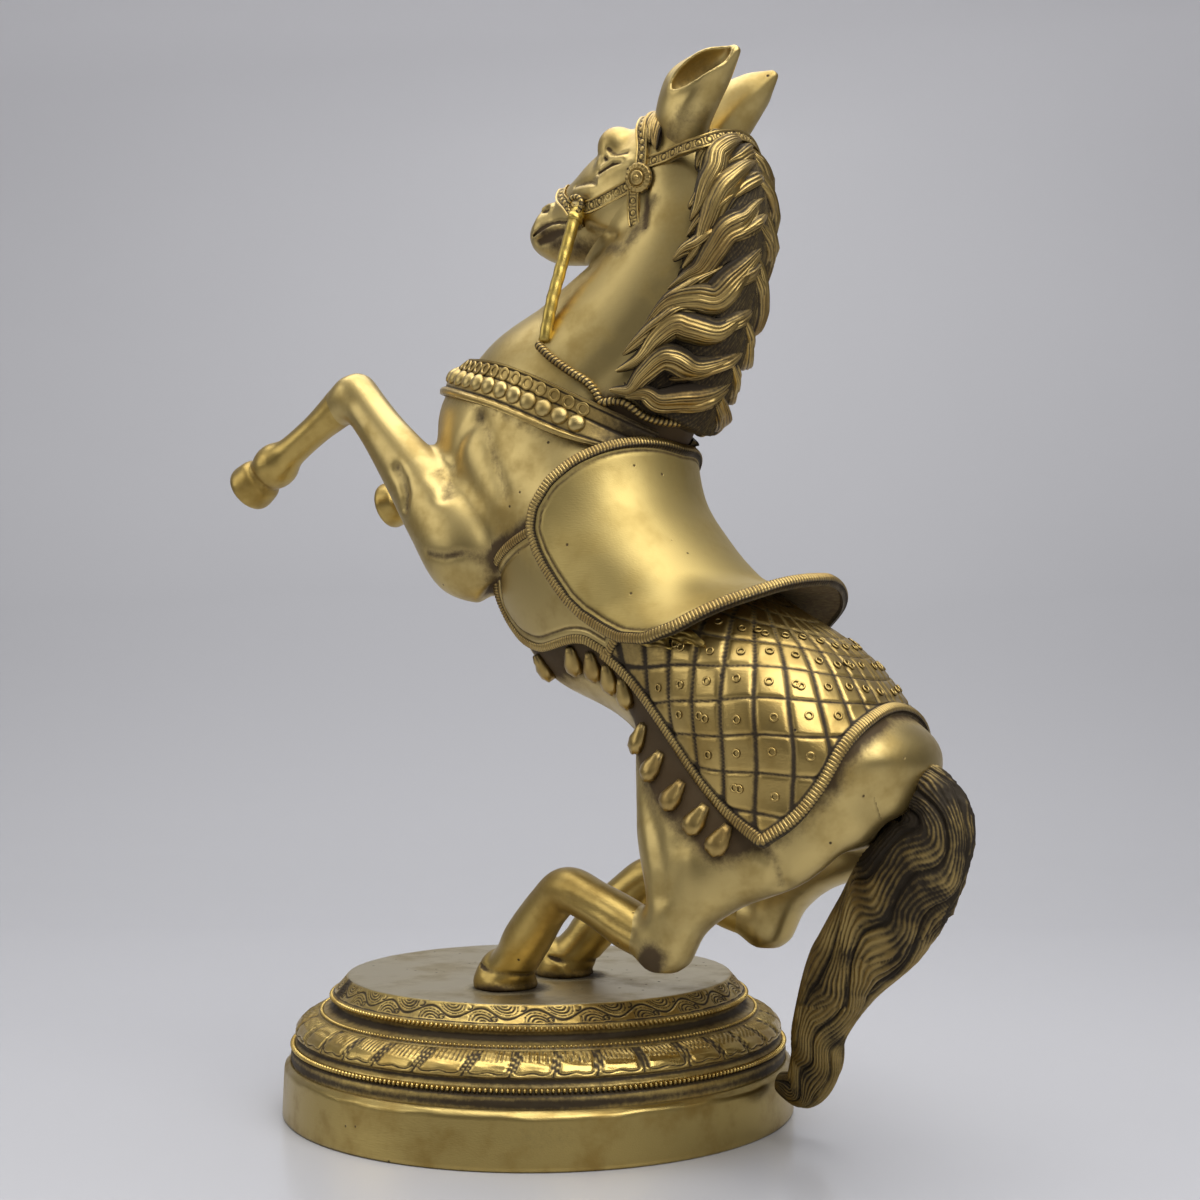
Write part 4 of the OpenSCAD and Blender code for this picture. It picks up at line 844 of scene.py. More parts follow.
locks = [
    ([[6.62, 6], [6.45, -20], [6.07, -42], [5.64, -51], [5.30, -60], [4.96, -66], [4.71, -72]], 8.5),
    ([[6.16, 8], [5.88, -15], [5.41, -36], [5.11, -46], [4.74, -52], [4.39, -56], [3.98, -66]], 9.5),
    ([[5.45, 10], [5.2, -10], [4.93, -23], [4.71, -35], [4.39, -41], [4.08, -48], [3.89, -59], [3.60, -72]], 9.5),
    ([[4.76, 12], [4.5, -6], [4.14, -21], [3.79, -31], [3.68, -45], [3.54, -59], [3.33, -69], [2.95, -76]], 10.5),
    ([[3.95, 10], [3.68, -9], [3.40, -24], [3.28, -42], [3.21, -54], [2.94, -62], [2.62, -66], [2.25, -76]], 9.5),
    ([[3.4, 10], [3.14, -10], [2.90, -28], [2.86, -43], [2.77, -52], [2.48, -57], [2.14, -60], [1.95, -72]], 8.5),
    ([[2.98, 10], [2.77, -8], [2.52, -27], [2.28, -38], [2.24, -50], [2.00, -60]], 8.0),
    ([[6.34, -36], [6.12, -50], [5.86, -60], [5.50, -68]], 6.0),
    ([[5.45, -20], [5.20, -36], [4.95, -50], [4.75, -62], [4.45, -72]], 5.5),
    ([[4.25, -30], [4.00, -42], [3.75, -56], [3.50, -68], [3.25, -76]], 5.5),
    ([[6.66, -28], [6.45, -42], [6.18, -56], [5.95, -66], [5.65, -74]], 6.5),
    ([[5.78, -26], [5.60, -44], [5.34, -58], [5.12, -68], [4.90, -78]], 6.0),
    ([[4.90, -28], [4.66, -44], [4.40, -58], [4.24, -70], [4.02, -78]], 6.0),
    ([[3.55, -38], [3.44, -54], [3.12, -66], [2.80, -74], [2.50, -79]], 6.0),
]
crest = [([[u + 0.12, 10], [u - 0.12, -8], [u - 0.36, -24], [u - 0.62, -38]], 6.0)
         for u in (6.35, 5.75, 5.1, 4.4, 3.8, 3.25, 2.8)]
forelock = [([[0.95, -4], [1.10, -26], [1.20, -48], [1.28, -70]], 4.6),
            ([[1.20, -6], [1.30, -28], [1.36, -48], [1.40, -66]], 3.6),
            ([[0.70, -20], [0.90, -42], [1.06, -62], [1.15, -82]], 4.6)]
heavy, light = {-1: [], 1: []}, {-1: [], 1: []}
heavy_count = 7
for i, (line, width) in enumerate(locks + crest):
    line = np.array(line)
    line[:, 1] = np.maximum(line[:, 1], 0.62 * line[:, 1] - 15.2)
    over = np.stack([line[:, 0] - 0.12, 1 - line[:, 1]], 1)
    kind, size, n, m = (heavy, 5.0, 64, 36) if i < heavy_count else (light, 3.8, 44, 25)
    for side, way in ((-1, line), (1, over)):
        kind[side].append(strand(NECK, way, width, 3.6, size, round(width * 1.05), 1.7 * i + 0.6 * side, n, m))
for i, (line, width) in enumerate(forelock):
    for side in (-1, 1):
        light[side].append(strand(HEAD, np.array(line) * [1, -side], width, [3.4, 2.8, 2.0, 0.8], 1.5, 5,
                                  i + 0.5 * side, 40, 20))
for side, name in ((-1, "near"), (1, "far")):
    for kind, strands in (("heavy", heavy[side]), ("light", light[side])):
        laid(f"mane_{name}_{kind}_locks", joined(strands), hair, "mane")
n, m = ((96, 140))
u, v = np.meshgrid(np.linspace(2.0, 6.68, n), np.linspace(-1, 1, m), indexing="ij")
reach = np.interp(u, [1.35, 1.7, 2, 3.1, 4.2, 4.9, 5.6, 6.7], [12, 44, 54, 57, 59, 59, 57, 48])
phi = v * reach
comb = (u + 0.045 * np.abs(phi) + 0.1 * np.sin(np.abs(phi) / 8)) * 10 + 0.3 * (v > 0)
cut = np.abs(np.sin(np.pi * comb)) ** 2
lift = (1.2 + 4.6 * (1 - v * v) ** 1.5) * np.clip((1 - np.abs(v)) * 14, 0, 1) - 0.7 * cut
lift = lift * np.clip((u - 2.0) * 5, 0, 1) * np.clip((6.68 - u) * 5, 0, 1) + 0.4
ground = closed_sheet(skin(NECK, u, phi, lift), skin(NECK, u, phi, -0.8))
# The ground is dark all over as painted shade, and darker still with residue in its combed grooves
piece("mane_ground", ground[0] + HORSE, facing_out(*ground), hair, ["mane"],
      np.concatenate([(0.62 + 0.38 * cut).ravel(), np.ones(cut.size)]))

# Tail
# One heavy casting brazed into the croup: waved strands with deep grooves between them, rough and
# black with residue on the side that was never reached for polishing.
TAIL = [[124, 0, 62, 6.48, 6, 6], [132, 0, 58, 7.56, 8, 8], [135, 0, 49, 9, 11, 10.5], [127, 2, 36, 9.9, 14, 14],
        [118, 6, 24, 9.54, 14, 13],
        [104, 11, 10, 8.28, 11, 11], [94, 16, -6, 7.2, 8, 8], [90.5, 20, -17, 6.48, 7.5, 7.5],
        [85, 23, -25, 5.4, 6, 6], [77.5, 24, -25, 3.24, 3, 3]]
n, m = ((230, 220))
u, p = np.meshgrid(np.linspace(0, 9, n), np.linspace(0, 1, m, endpoint=False), indexing="ij")
g = skin(TAIL, u, p * 360)
stray = mottle(g, 7)
turn = p - 0.0444 * np.sin(1.9 * u + 0.8) - 0.026 * np.sin(4.1 * u + 4 * np.pi * p) + 0.03 * stray
groove = np.abs((7 * turn) % 1.0 - 0.5) * 2
fine = np.abs(np.cos(np.pi * 46 * turn + 2.4 * mottle(g, 4)))
small = np.minimum(1, u / 0.6) * np.minimum(1, (9 - u) / 1.2)
rough = mottle(g, 1.6) + 0.6 * mottle(g, 0.9)
unreached = np.clip((g[..., 0] - 116) / 16, 0, 1) * np.clip((g[..., 2] - 14) / 12, 0, 1)
lift = small * (-0.15 - 1.5 * groove ** 5 - 0.6 * fine ** 3 * (1 - 0.5 * unreached) - 0.7 * unreached * rough)
g = skin(TAIL, u, p * 360, lift)
v = np.concatenate([g.reshape(-1, 3), [TAIL[0][:3]]])
v = np.concatenate([v, [np.array(TAIL[-1][:3]) - [1.2, 0, 0]]]) + HORSE
j = np.arange(m)
root, tip = np.full(m, n * m), np.full(m, n * m + 1)
ends = np.concatenate([np.stack([j, (j + 1) % m, root, root], 1),
                       np.stack([(n - 1) * m + (j + 1) % m, (n - 1) * m + j, tip, tip], 1)])
r = np.hypot(v[:, 0], v[:, 1])
push = np.where(v[:, 2] < 40, np.maximum(1, 76.15 / np.maximum(r, 1e-6)), 1.0)
v[:, 0] *= push
v[:, 1] *= push
f = facing_out(v, np.concatenate([cells(n, m, False, True), ends]))
black = np.clip(2.4 * (mottle(g, 9) - 0.35), 0, 1) * np.clip((g[..., 2] - 34) / 8, 0, 1)
combed = 0.9 * groove ** 7 * (0.3 + 1.2 * stray) + 0.55 * fine ** 3 * (0.4 + mottle(g, 3))
blotch = np.clip(2.4 * mottle(g, 5) - 1, 0, 1)
c = np.clip(combed + 0.75 * black + 0.35 * unreached * rough + 0.5 * blotch, 0, 1).ravel()
tail_metal = brass("black_patinated_tail_brass", "#9c8653", "#7d683e", "#1d150c", 0.38, stain=0.8, scratch=0.2,
                   grain=0.7)


def fans(quads):
    """Splits the quads into triangles and drops the empty ones at the ends of a skin."""
    t = np.concatenate([quads[:, [0, 1, 2]], quads[:, [0, 2, 3]]])
    return t[(t[:, 0] != t[:, 1]) & (t[:, 1] != t[:, 2]) & (t[:, 2] != t[:, 0])]


piece("tail_strands", v, fans(f), tail_metal, ["tail"], np.concatenate([c, [1, 1]]))

# Saddle
# A thin polished shell over the back, dished, with a rope of milled ridges soldered round its rim and
# a duck-tail cantle whose underside, like that of every sheet, is darkened as painted shade.
def table(rows, x, soft=0.0):
    """Values between the rows at x, rounded off over the given span."""
    xs, ys = np.array(rows, float).T
    return sum(np.interp(x + soft * k, xs, ys) for k in (-1, -0.5, 0, 0.5, 1)) / 5


def fade(x, start, end):
    t = np.clip((x - start) / (end - start), 0, 1)
    return t * t


def slab(place, n, m, thick, relief=None):
    """Sheet of a given thickness under place(s, v), its upper side moved by relief: points, quads, hollows, and painted
    shade on the whole underside.
    """
    n, m = ((n, m))
    s, v = np.meshgrid(np.linspace(0, 1, n), np.linspace(-1, 1, m), indexing="ij")
    p = place(s, v)
    nrm = normals(place, s, v)
    h, deep = relief(s, v) if relief else (np.zeros_like(s), np.zeros_like(s))
    q = closed_sheet(p + nrm * h[..., None], p - nrm * thick)
    # The underside is given one dark value: painted shade
    return q[0], facing_out(*q), np.concatenate([np.clip(deep, 0, 1).ravel(), np.full(deep.size, 0.7)])


def normals(place, s, v, e=0.004):
    """Normals of the sheet place(s, v) on the side to which a lift moves it."""
    a = place(np.clip(s + e, 0, 1), v) - place(np.clip(s - e, 0, 1), v)
    b = place(s, np.clip(v + e, -1, 1)) - place(s, np.clip(v - e, -1, 1))
    nrm = unit(np.cross(a, b))
    return nrm * np.sign(((place(s, v, 1.0) - place(s, v)) * nrm).sum(-1, keepdims=True))


def rope(path, radius, pitch, depth, seg=14, slant=0.6, closed=False):
    """Round bar along path with slanted milled ridges: points, quads and hollows."""
    path = np.asarray(path, float)
    loop = np.concatenate([path, path[:1]]) if closed else path
    d = run_of(loop)
    n = int(d[-1] / (pitch / 5)) + 2
    t = np.linspace(0, d[-1], n, endpoint=not closed)
    c = walk(loop, d, t)
    if closed:
        way = unit(np.roll(c, -1, 0) - np.roll(c, 1, 0))
    else:
        way = unit(np.gradient(c, axis=0))
    ref = unit(np.cross(way, np.array([0.31, 0.17, 0.93])))
    sec = np.cross(way, ref)
    a = np.linspace(0, 2 * np.pi, seg, endpoint=False)
    mill = 0.5 + 0.5 * np.cos(2 * np.pi * (t[:, None] / pitch) + slant * a[None])
    r = radius - depth * (1 - mill)
    if not closed:
        end = np.minimum(np.arange(n), np.arange(n)[::-1])
        r = r * np.where(end == 0, 0.05, 1)[:, None]
    v = c[:, None] + ref[:, None] * (r * np.cos(a))[..., None] + sec[:, None] * (r * np.sin(a))[..., None]
    q = cells(n, seg, closed, True)
    v = v.reshape(-1, 3)
    return v, facing_out(v, q), np.clip(0.15 + 0.9 * (1 - mill) ** 2, 0, 1).ravel()


def band(c, out, width, relief, step=0.24, across=17, thick=1.4):
    """Strip along points c, its face towards out, its relief by the distance along it and the place across it."""
    c, out = np.asarray(c, float), np.asarray(out, float)
    run = run_of(c)
    last = max(8, int(run[-1] / 1.2))
    t = np.linspace(0, run[-1], last + 1)
    c, out = walk(c, run, t), walk(out, run, t)

    def place(s, v, up=0.0):
        o = unit(at(out, s * last))
        way = at(c, np.clip(s + 0.004, 0, 1) * last) - at(c, np.clip(s - 0.004, 0, 1) * last)
        return at(c, s * last) + unit(np.cross(way, o)) * (v * width / 2)[..., None] + o * np.asarray(up)[..., None]

    return slab(place, int(run[-1] / step), across, thick, lambda s, v: relief(s * run[-1], v))


trim_pitch, trim_step, trim_across = 0.95, 0.21, 9


def filed(x, v):
    """Half-round trim filed across into ridges."""
    low = 0.5 - 0.5 * np.cos(2 * np.pi * x / trim_pitch + 0.5 * v)
    crown = np.sqrt(np.maximum(0, 1 - np.abs(v) ** 2.6))
    return crown * (0.9 - 0.3 * low ** 2), 0.05 + 0.65 * low ** 3 + 0.7 * np.abs(v) ** 6


saddle_reach = 104.0
saddle_front = [[0, 5.56], [0.42, 5.76], [0.59, 5.83], [0.74, 5.85], [0.88, 5.79], [0.94, 5.66], [0.975, 5.4],
                [0.99, 5.1], [1, 4.8]]
saddle_rear = [[0, 3.46], [0.34, 3.56], [0.53, 3.66], [0.71, 3.75], [0.87, 3.89], [0.95, 4.14], [0.985, 4.4], [1, 4.68]]


def saddle_at(s, v, lift=0.0):
    w = np.sin(np.pi / 2 * v)
    soft = 0.008 + 0.06 * (1 - np.abs(w))
    u = table(saddle_rear, np.abs(w), soft) * (1 - s) + table(saddle_front, np.abs(w), soft) * s
    low = np.abs(w) ** 12
    cantle = 12 * fade(s, 0.3, 0) * (1 - 0.6 * np.abs(w) - 0.4 * low)
    pommel = 5 * fade(s, 0.75, 1) * (1 - 0.5 * np.abs(w) - 0.5 * low)
    return skin(TORSO, u, w * saddle_reach, 1.8 + cantle + pommel + 2.6 * fade(np.abs(w), 0.6, 1) + lift)


def along_edge(f, *corners):
    """Values of f(s, v) on the way from corner to corner of a sheet, 200 to a side."""
    k, rows = np.linspace(0, 1, 200), []
    for (s0, v0), (s1, v1) in zip(corners, corners[1:]):
        rows.append(f(s0 + (s1 - s0) * k, v0 + (v1 - v0) * k)[1 if rows else 0:])
    return np.concatenate(rows)


def round_the_rim(lift):
    """The saddle's edge at a lift, from the near end of its rear edge right round."""
    return along_edge(lambda s, v: saddle_at(s, v, lift), (0, -1), (0, 1), (1, 1), (1, -1), (0, -1))


rim = round_the_rim(0.0)


def dish(s, v):
    """Fine groove inside the rope rim and a little unevenness from planishing."""
    border = gap_to(saddle_at(s, v), rim)
    cut = hump(border, 2.7, 0.45)
    uneven = 0.1 * np.sin(9 * s + 4 * v) * np.sin(11 * v) * np.clip(border / 8, 0, 1)
    return uneven - 0.35 * cut, 0.7 * cut + 0.25 * np.exp(-border / 2)


seat_metal = brass("polished_saddle_brass", "#b5a064", "#9f884c", "#46331a", 0.47, stain=0.5, scratch=0.3, pit=0.15)
solder = brass("ragged_brass_solder", "#c0a558", "#a08340", "#4a3217", 0.36, stain=0.6, grain=1.0)
laid("saddle_shell", slab(saddle_at, 95, 200, 1.6, dish), seat_metal, "saddle")
laid("saddle_rope_rim", band(rim, round_the_rim(1.0) - rim, 3.0, filed, trim_step, trim_across, 1.8), hair,
     "saddle")

# Solder that ran out in a ragged strip between the cantle and the cloth and was never cleaned off
for side, name in ((-1, "left"), (1, "right")):
    def strip(s, v, lift=0.0):
        w = 0.66 + 0.31 * s
        edge = 0.10 + 0.05 * np.sin(9 * s + 1) + 0.03 * np.sin(23 * s)
        u = table(saddle_rear, w, 0.05) + 0.1 - (0.1 + np.maximum(0.03, edge)) * (v + 1) / 2
        return skin(TORSO, u, side * w * saddle_reach,
                    2.1 + 0.35 * np.sin(21 * s + 5 * v) * np.sin(13 * s - 4 * v) + lift)

    v, f, c = slab(strip, 100, 24, 1.2)
    piece(name + "_saddle_solder", v + HORSE, f, solder, ["saddle"], 0.7 * mottle(v, 1.3))

# Saddle cloth
# A thin cast sheet over the rump whose two lower edges meet in a point on each thigh, cut into cells by
# chased grooves with a ring struck in each, edged with milled trim.
cloth_metal = brass("stamped_cloth_brass", "#b89e60", "#927840", "#21160b", 0.3, stain=0.7, scratch=0.25, pit=0.2,
                    grain=0.3)
cloth_rear = [[0, 1.48], [34, 1.45], [61, 1.5], [93, 1.6], [120, 1.8], [140, 2.02]]


def cloth_at(s, v, lift=0.0):
    deg = np.abs(v) * 140
    u = table(cloth_rear, deg, 8) * (1 - s) + 4.3 * s
    phi = v * (115 + 25 * (1 - s) ** 2.4)
    p = skin(TORSO, u, phi, 1.5 + lift)
    p[..., 1] += np.sign(v) * 14.5 * fade(np.abs(v), 0.6, 1) * fade(s, 0.6, 0)
    return p


cloth_cell = np.array([7.4, 8.4])
rump_mid, rump_r, rump_round = np.array([84, 0, 72]), np.array([45, 33, 38]), (39, 38)


def cloth_cells(s, v):
    """Place among the cells, which are cut upright and level round the rump, taken as an egg about its middle."""
    x, y, z = np.moveaxis((cloth_at(s, v) - rump_mid) / rump_r, -1, 0)
    upright = rump_round[0] / cloth_cell[0] * np.arctan2(x, np.abs(y)) + 0.03 * np.sin(9 * z)
    level = rump_round[1] / cloth_cell[1] * np.arctan2(z, np.hypot(x, y)) + 0.03 * np.sin(11 * x)
    return upright, level


def quilt(s, v):
    """Chased grooves between the flat cells, the upright ones wider."""
    a, b = cloth_cells(s, v)
    ga, gb = np.abs(a - np.round(a)) * cloth_cell[0], np.abs(b - np.round(b)) * cloth_cell[1]
    cut = np.maximum(hump(ga, 0, 0.62), 0.85 * hump(gb, 0, 0.42))
    border = gap_to(cloth_at(s, v), cloth_hem)
    # The cloth grows darker towards its front edge, where it runs under the saddle: painted shade
    return -0.6 * cut, cut + 0.9 * hump(border, 1.7, 0.5) + 0.5 * hump(s, 0.98, 0.2)


cloth_corners = (1, -1), (0, -1), (0, 1), (1, 1)
cloth_hem = along_edge(cloth_at, *cloth_corners)
laid("saddle_cloth_sheet", slab(cloth_at, 110, 240, 1.3, quilt), cloth_metal, "saddle_cloth")
out = along_edge(lambda s, v: normals(cloth_at, s, v), *cloth_corners)
laid("saddle_cloth_trim", band(cloth_hem, out, 3.2, filed, trim_step, trim_across), hair,
     "saddle_cloth")
rump = [castings[part] for part in ("torso", "left_hind_thigh", "right_hind_thigh")]
for o in rump:
    lay_residue_and_shade(o, cloth_hem, 5.0, 1.3)
lay_residue_and_shade(castings["torso"], rim, 4.0, 0.8)

# Girth flaps
# A rounded lobe on each side of the barrel, its upper part under the saddle, plain and polished inside a milled rim.
flap_corners = (0, 0.3), (0, 1), (1, 1), (1, -0.56)
flap_edge = [[4.25, 113], [4.6, 115], [4.8, 124], [5, 135], [5.3, 145], [5.65, 149], [5.9, 145], [6.06, 128]]
for side, name in ((-1, "left"), (1, "right")):
    def flap_at(s, v, lift=0.0):
        e, t = 4.25 + 1.81 * s, (v + 1) / 2
        return skin(TORSO, e - 0.5 * s * (1 - t) ** 1.4, side * (88 + (table(flap_edge, e, 0.1) - 88) * t), 1.5 + lift)

    def border(s, v):
        d = gap_to(flap_at(s, v), hem)
        cut = hump(d, 3.0, 0.5)
        return -0.45 * cut, 0.75 * cut

    node = name + "_girth_flap"
    hem = along_edge(flap_at, *flap_corners)
    laid(node + "_sheet", slab(flap_at, 100, 75, 1.3, border), polish, node)
    out = unit(hem - along_edge(lambda s, v: flap_at(s, v, -1.0), *flap_corners)) + [0, 0.7 * side, 0]
    laid(node + "_rim", band(hem, out, 2.8, filed, trim_step, trim_across), hair, node)
    lay_residue_and_shade(castings["torso"], hem, 4.5, 1.3)
    lay_residue_and_shade(castings[name + "_fore_arm"], hem, 4.0, 0.9)

# Drop bells
# Small cast drops in rows under the girth flaps and the points of the cloth, each soldered to the casting by its back.
# Distance to the trunk, on a grid of 1 mm, for laying trims on it
trunk_lo, trunk_n = grid_round(trunk, 1.0, 6)
trunk_field = melted(trunk, trunk_lo, trunk_n, 1.0, 4.5)


def slope(p):
    """Distance of points from the trunk and the direction away from it."""
    q = p - trunk_lo
    rise = [sample(trunk_field, q + e) - sample(trunk_field, q - e) for e in np.eye(3)]
    return sample(trunk_field, q), unit(np.stack(rise, -1))


def drape(p, lift):
    """Moves points out of the trunk until they lie at least lift above it."""
    shape = p.shape
    p, lift = p.reshape(-1, 3).copy(), np.broadcast_to(lift, shape[:-1]).reshape(-1)
    for _ in range(5):
        d, out = slope(p)
        p += out * np.maximum(0, lift - d)[:, None]
    return p.reshape(shape)


bell_length, bell_d = 6.5, 4.94
pear = (0.2, 0), (0.30, 0.18), (0.36, 0.3), (0.46, 0.5), (0.5, 0.64), (0.46, 0.8), (0.3, 0.94)
drop = stamp("drop", [(0.02, 0)] + [(r * bell_d, z * bell_length) for r, z in pear] + [(0.02, bell_length)], 18,
             lambda a, r, z: 0.25 * np.sin(3 * a + z) * np.sin(1.7 * z) + 0.08 * np.sin(7 * a), 0.5)
places, along = [], []
for side in (-1, 1):
    for u, phi in ((5.03, 151), (4.62, 129), (4.39, 125), (4.18, 125), (3.98, 125)):
        places.append(skin(TORSO, u, side * phi, 0.6))
        along.append([-0.15, 0, -1])
    for u, phi in ((1.92, 29), (2.1, 49), (2.24, 67), (2.29, 83), (2.31, 100)):
        places.append(skin(thigh(side), u, side * phi, 0.6))
        along.append([-0.5, 0, -0.85])
places, along = drape(np.array(places), 0.7), np.array(along)
outward = slope(places)[1]
along = unit(along - (along * outward).sum(1, keepdims=True) * outward)
trims("drop_bell_set", drop, places - along * bell_length / 2 + HORSE, along, outward, (0.95, 1.2, 1.35), hair,
      "patinated_brass", ["drop_bells"])
for o in rump:
    lay_residue_and_shade(o, places, 6.5, 1.3)

# Breast collar
# A brass band round the foot of the neck with a plain raised rim, a row of rings struck along its upper half and a
# row of domes along its middle.
collar_w, collar_start, collar_sweep = 13.0, 24, 312
dome_row, dome_pitch, ring_row, ring_turn = 0.12, 5.5, -0.58, 7.0


def collar_at(s, v, lift=0.0):
    phi = collar_start + collar_sweep * s

    def foot(q, up):
        return skin(NECK, 1.56 - 0.46 * (1 - np.cos(np.radians(q))), q, up)

    out = unit(foot(phi, 1.0) - foot(phi, 0.0))
    across = unit(np.cross(foot(phi + 2, 0.0) - foot(phi - 2, 0.0), out))
    return drape(foot(phi, 1.7) + across * (v * collar_w / 2)[..., None], 1.7) + out * np.asarray(lift)[..., None]


def collar_relief(s, v):
    rims = hump(v, 0.84, 0.13) + 0.6 * hump(v, -0.93, 0.06)
    cut = hump(v, 0.62, 0.05) + hump(v, -0.28, 0.05) + hump(v, -0.86, 0.04)
    # The ends of the collar, under the mane, are darkened as painted shade
    shade_under_mane = np.clip((np.abs(s - 0.5) - 0.38) * 14, 0, 1)
    return 0.7 * rims - 0.4 * cut, 0.8 * cut + 0.2 + 0.6 * shade_under_mane


laid("breast_collar_band", slab(collar_at, 280, 40, 1.9, collar_relief), cloth_metal,
     "breast_collar")
k = np.linspace(0, 1, 240)
for o in (castings["torso"], castings["neck"]):
    for edge in (-1.1, 1.1):
        lay_residue_and_shade(o, collar_at(k, edge + 0 * k), 2.2, 0.6)
ring = stamp("ring", [(0.52, -0.2), (0.95, -0.2), (1.05, 0.15), (0.95, 0.38), (0.75, 0.45), (0.6, 0.36), (0.52, 0.1)],
             14, dark=1.7)
dome = stamp("dome", dome_profile(2.3, 1.6), 20)


def on_sheet(place, s, v, lift=0.0):
    """Places on a sheet, the way out of it and the way along it."""
    out = normals(place, s, v)
    along = place(np.minimum(1, s + 0.004), v) - place(np.maximum(0, s - 0.004), v)
    return place(s, v) + out * lift + HORSE, out, along


t = (np.linspace(62, 298, 400) - collar_start) / collar_sweep
run = run_of(collar_at(t, 0 * t + dome_row))
s = np.interp(np.linspace(0, run[-1], round(run[-1] / dome_pitch) + 1), run, t)
trims("collar_dome_row", dome, *on_sheet(collar_at, s, 0 * s + dome_row), (1.17, 1.17, 1), polish, "polished_brass",
      ["collar_domes"])
s = (np.arange(60, 301, ring_turn) - collar_start) / collar_sweep
trims("collar_ring_row", ring, *on_sheet(collar_at, s, 0 * s + ring_row), (2.0, 2.0, 1), cloth_metal,
      "patinated_brass", ["breast_collar"])

# Rings struck in the cells of the saddle cloth, some of them twice
spots = []
s, v = np.meshgrid(np.linspace(0.07, 0.8, 160), np.linspace(0, 0.95, 200), indexing="ij")
a, b = cloth_cells(s, v)
place = cloth_at(s, v)
x, y, z = np.moveaxis((place - rump_mid) / rump_r, -1, 0)
free = (gap_to(place, cloth_hem) > 4.0) & (np.hypot(x, y) > 0.55)
for i in range(int(a.min()), int(a.max()) + 1):
    for j in range(int(b.min()), int(b.max()) + 1):
        off = np.where(free,
                       np.hypot(a - i - 0.5 - 0.06 * math.sin(7 * i + 3 * j),
                                b - j - 0.5 - 0.08 * math.sin(5 * i - 4 * j)), 9)
        k = np.unravel_index(off.argmin(), off.shape)
        if off[k] < 0.05:
            spots += [(s[k], v[k]), (s[k], -v[k])]
            if (3 * i + 5 * j) % 7 == 0:
                spots += [(s[k] + 0.02, v[k] + 0.01), (s[k] + 0.02, -v[k] - 0.01)]
spots = np.array(spots)
trims("saddle_cloth_rings", ring, *on_sheet(cloth_at, spots[:, 0], spots[:, 1], 0.1), (1.15, 1.15, 0.9), cloth_metal,
      "patinated_brass", ["saddle_cloth"])

# Bridle
# Flat straps cast on the head with ridged edges and struck rings, a ring at the bit, and a fluted rosette on
# each cheek.
def struck(width, pitch):
    """Relief of a strap: ridged edges, a row of struck rings and a bar between each two."""
    def relief(x, v):
        x, inside = x % pitch - pitch / 2, np.abs(v) < 0.62
        rings = hump(np.hypot(x, v * width / 2), 0.24 * width, 0.2) + 0.8 * hump(np.abs(x), pitch / 2, 0.22)
        cut = np.clip(rings * inside + hump(np.abs(v), 0.62, 0.07), 0, 1)
        return 0.35 * hump(np.abs(v), 0.84, 0.14) - 0.32 * cut, 0.12 + 0.7 * cut
    return relief


rosette_u, rosette_phi, bit = 1.67, 102.7, np.array([33.6, 14.0, 222.4])
# Straps on the head by station, degrees and lift; the crown piece runs over the poll behind the ears, by points
straps = [([[1.67, 102.7, 0.9], [2.02, 104, 0.9], [2.54, 103, 0.9], [3.18, 100, 0.9], [3.62, 95, 0.9]], 3.7, 3.2),
          ([[1.67, 102.7, 0.9], [1.53, 87, 0.9], [1.45, 71, 1.2], [1.46, 45, 2.6], [1.48, 20, 3.7], [1.48, -6, 3.9]],
           3.7, 2.4),
          ([[4.55, -6, 0.9], [4.5, 25, 0.9], [4.41, 56, 0.9], [4.08, 81, 0.9], [3.89, 101, 0.9], [3.87, 114, 0.6]],
           3.4, 2.4)]
crown = np.array([[55.7, 14.0, 229.0], [58.2, 13.9, 230.0], [61.2, 13.8, 230.3], [64.5, 14.0, 230.6],
                  [68.5, 15.0, 230.9], [73.0, 16.6, 230.7], [77.2, 15.9, 231.3],
                  [80.0, 12.8, 232.9], [81.6, 8.0, 234.6], [82.4, 3.5, 235.7], [82.5, -1.0, 236.0]])
throat = np.array([[55.2, 14.2, 228.0], [54.2, 14.3, 224.3], [53.7, 14.1, 221.7], [53.3, 13.7, 219.2],
                   [53.2, 13.4, 216.2], [53.5, 13.2, 213.4]])
parts, bits = [], []
for side in (-1, 1):
    for line, width, pitch in straps:
        u, phi, lift = np.array(line).T
        c = skin(HEAD, u, side * phi, lift)
        fine = np.linspace(0, len(c) - 1, 60)
        parts.append(band(at(c, fine), at(skin(HEAD, u, side * phi, lift + 1) - c, fine), width, struck(width, pitch)))
    for way, hub in ((crown, [66, 0, 229]), (throat, [52, 0, 221])):
        c = at(way * [1, side, 1], np.linspace(0, len(way) - 1, 60))
        parts.append(band(c, unit(c - hub), 3.6, struck(3.6, 3.3)))
    a = np.linspace(0, 2 * np.pi, 40, endpoint=False)
    bits.append(rope(np.stack([bit[0] + 2.4 * np.cos(a), 0 * a + side * bit[1], bit[2] + 2.4 * np.sin(a)], 1), 0.8,
                     1.2, 0.08, seg=10, closed=True))
laid("bridle_straps", joined(parts), cloth_metal, "bridle")
laid("bridle_bit_rings", joined(bits), cloth_metal, "bridle")


def fluted(a, r, z):
    """Flutes round the rim of a rosette and a struck ring about its boss."""
    flutes = 0.22 * (0.5 + 0.5 * np.cos(16 * a)) * (r > 2.7) * (r < 4.3) * (z > 0.2)
    return -flutes - 0.18 * hump(r, 2.4, 0.25) * (z > 0.3)


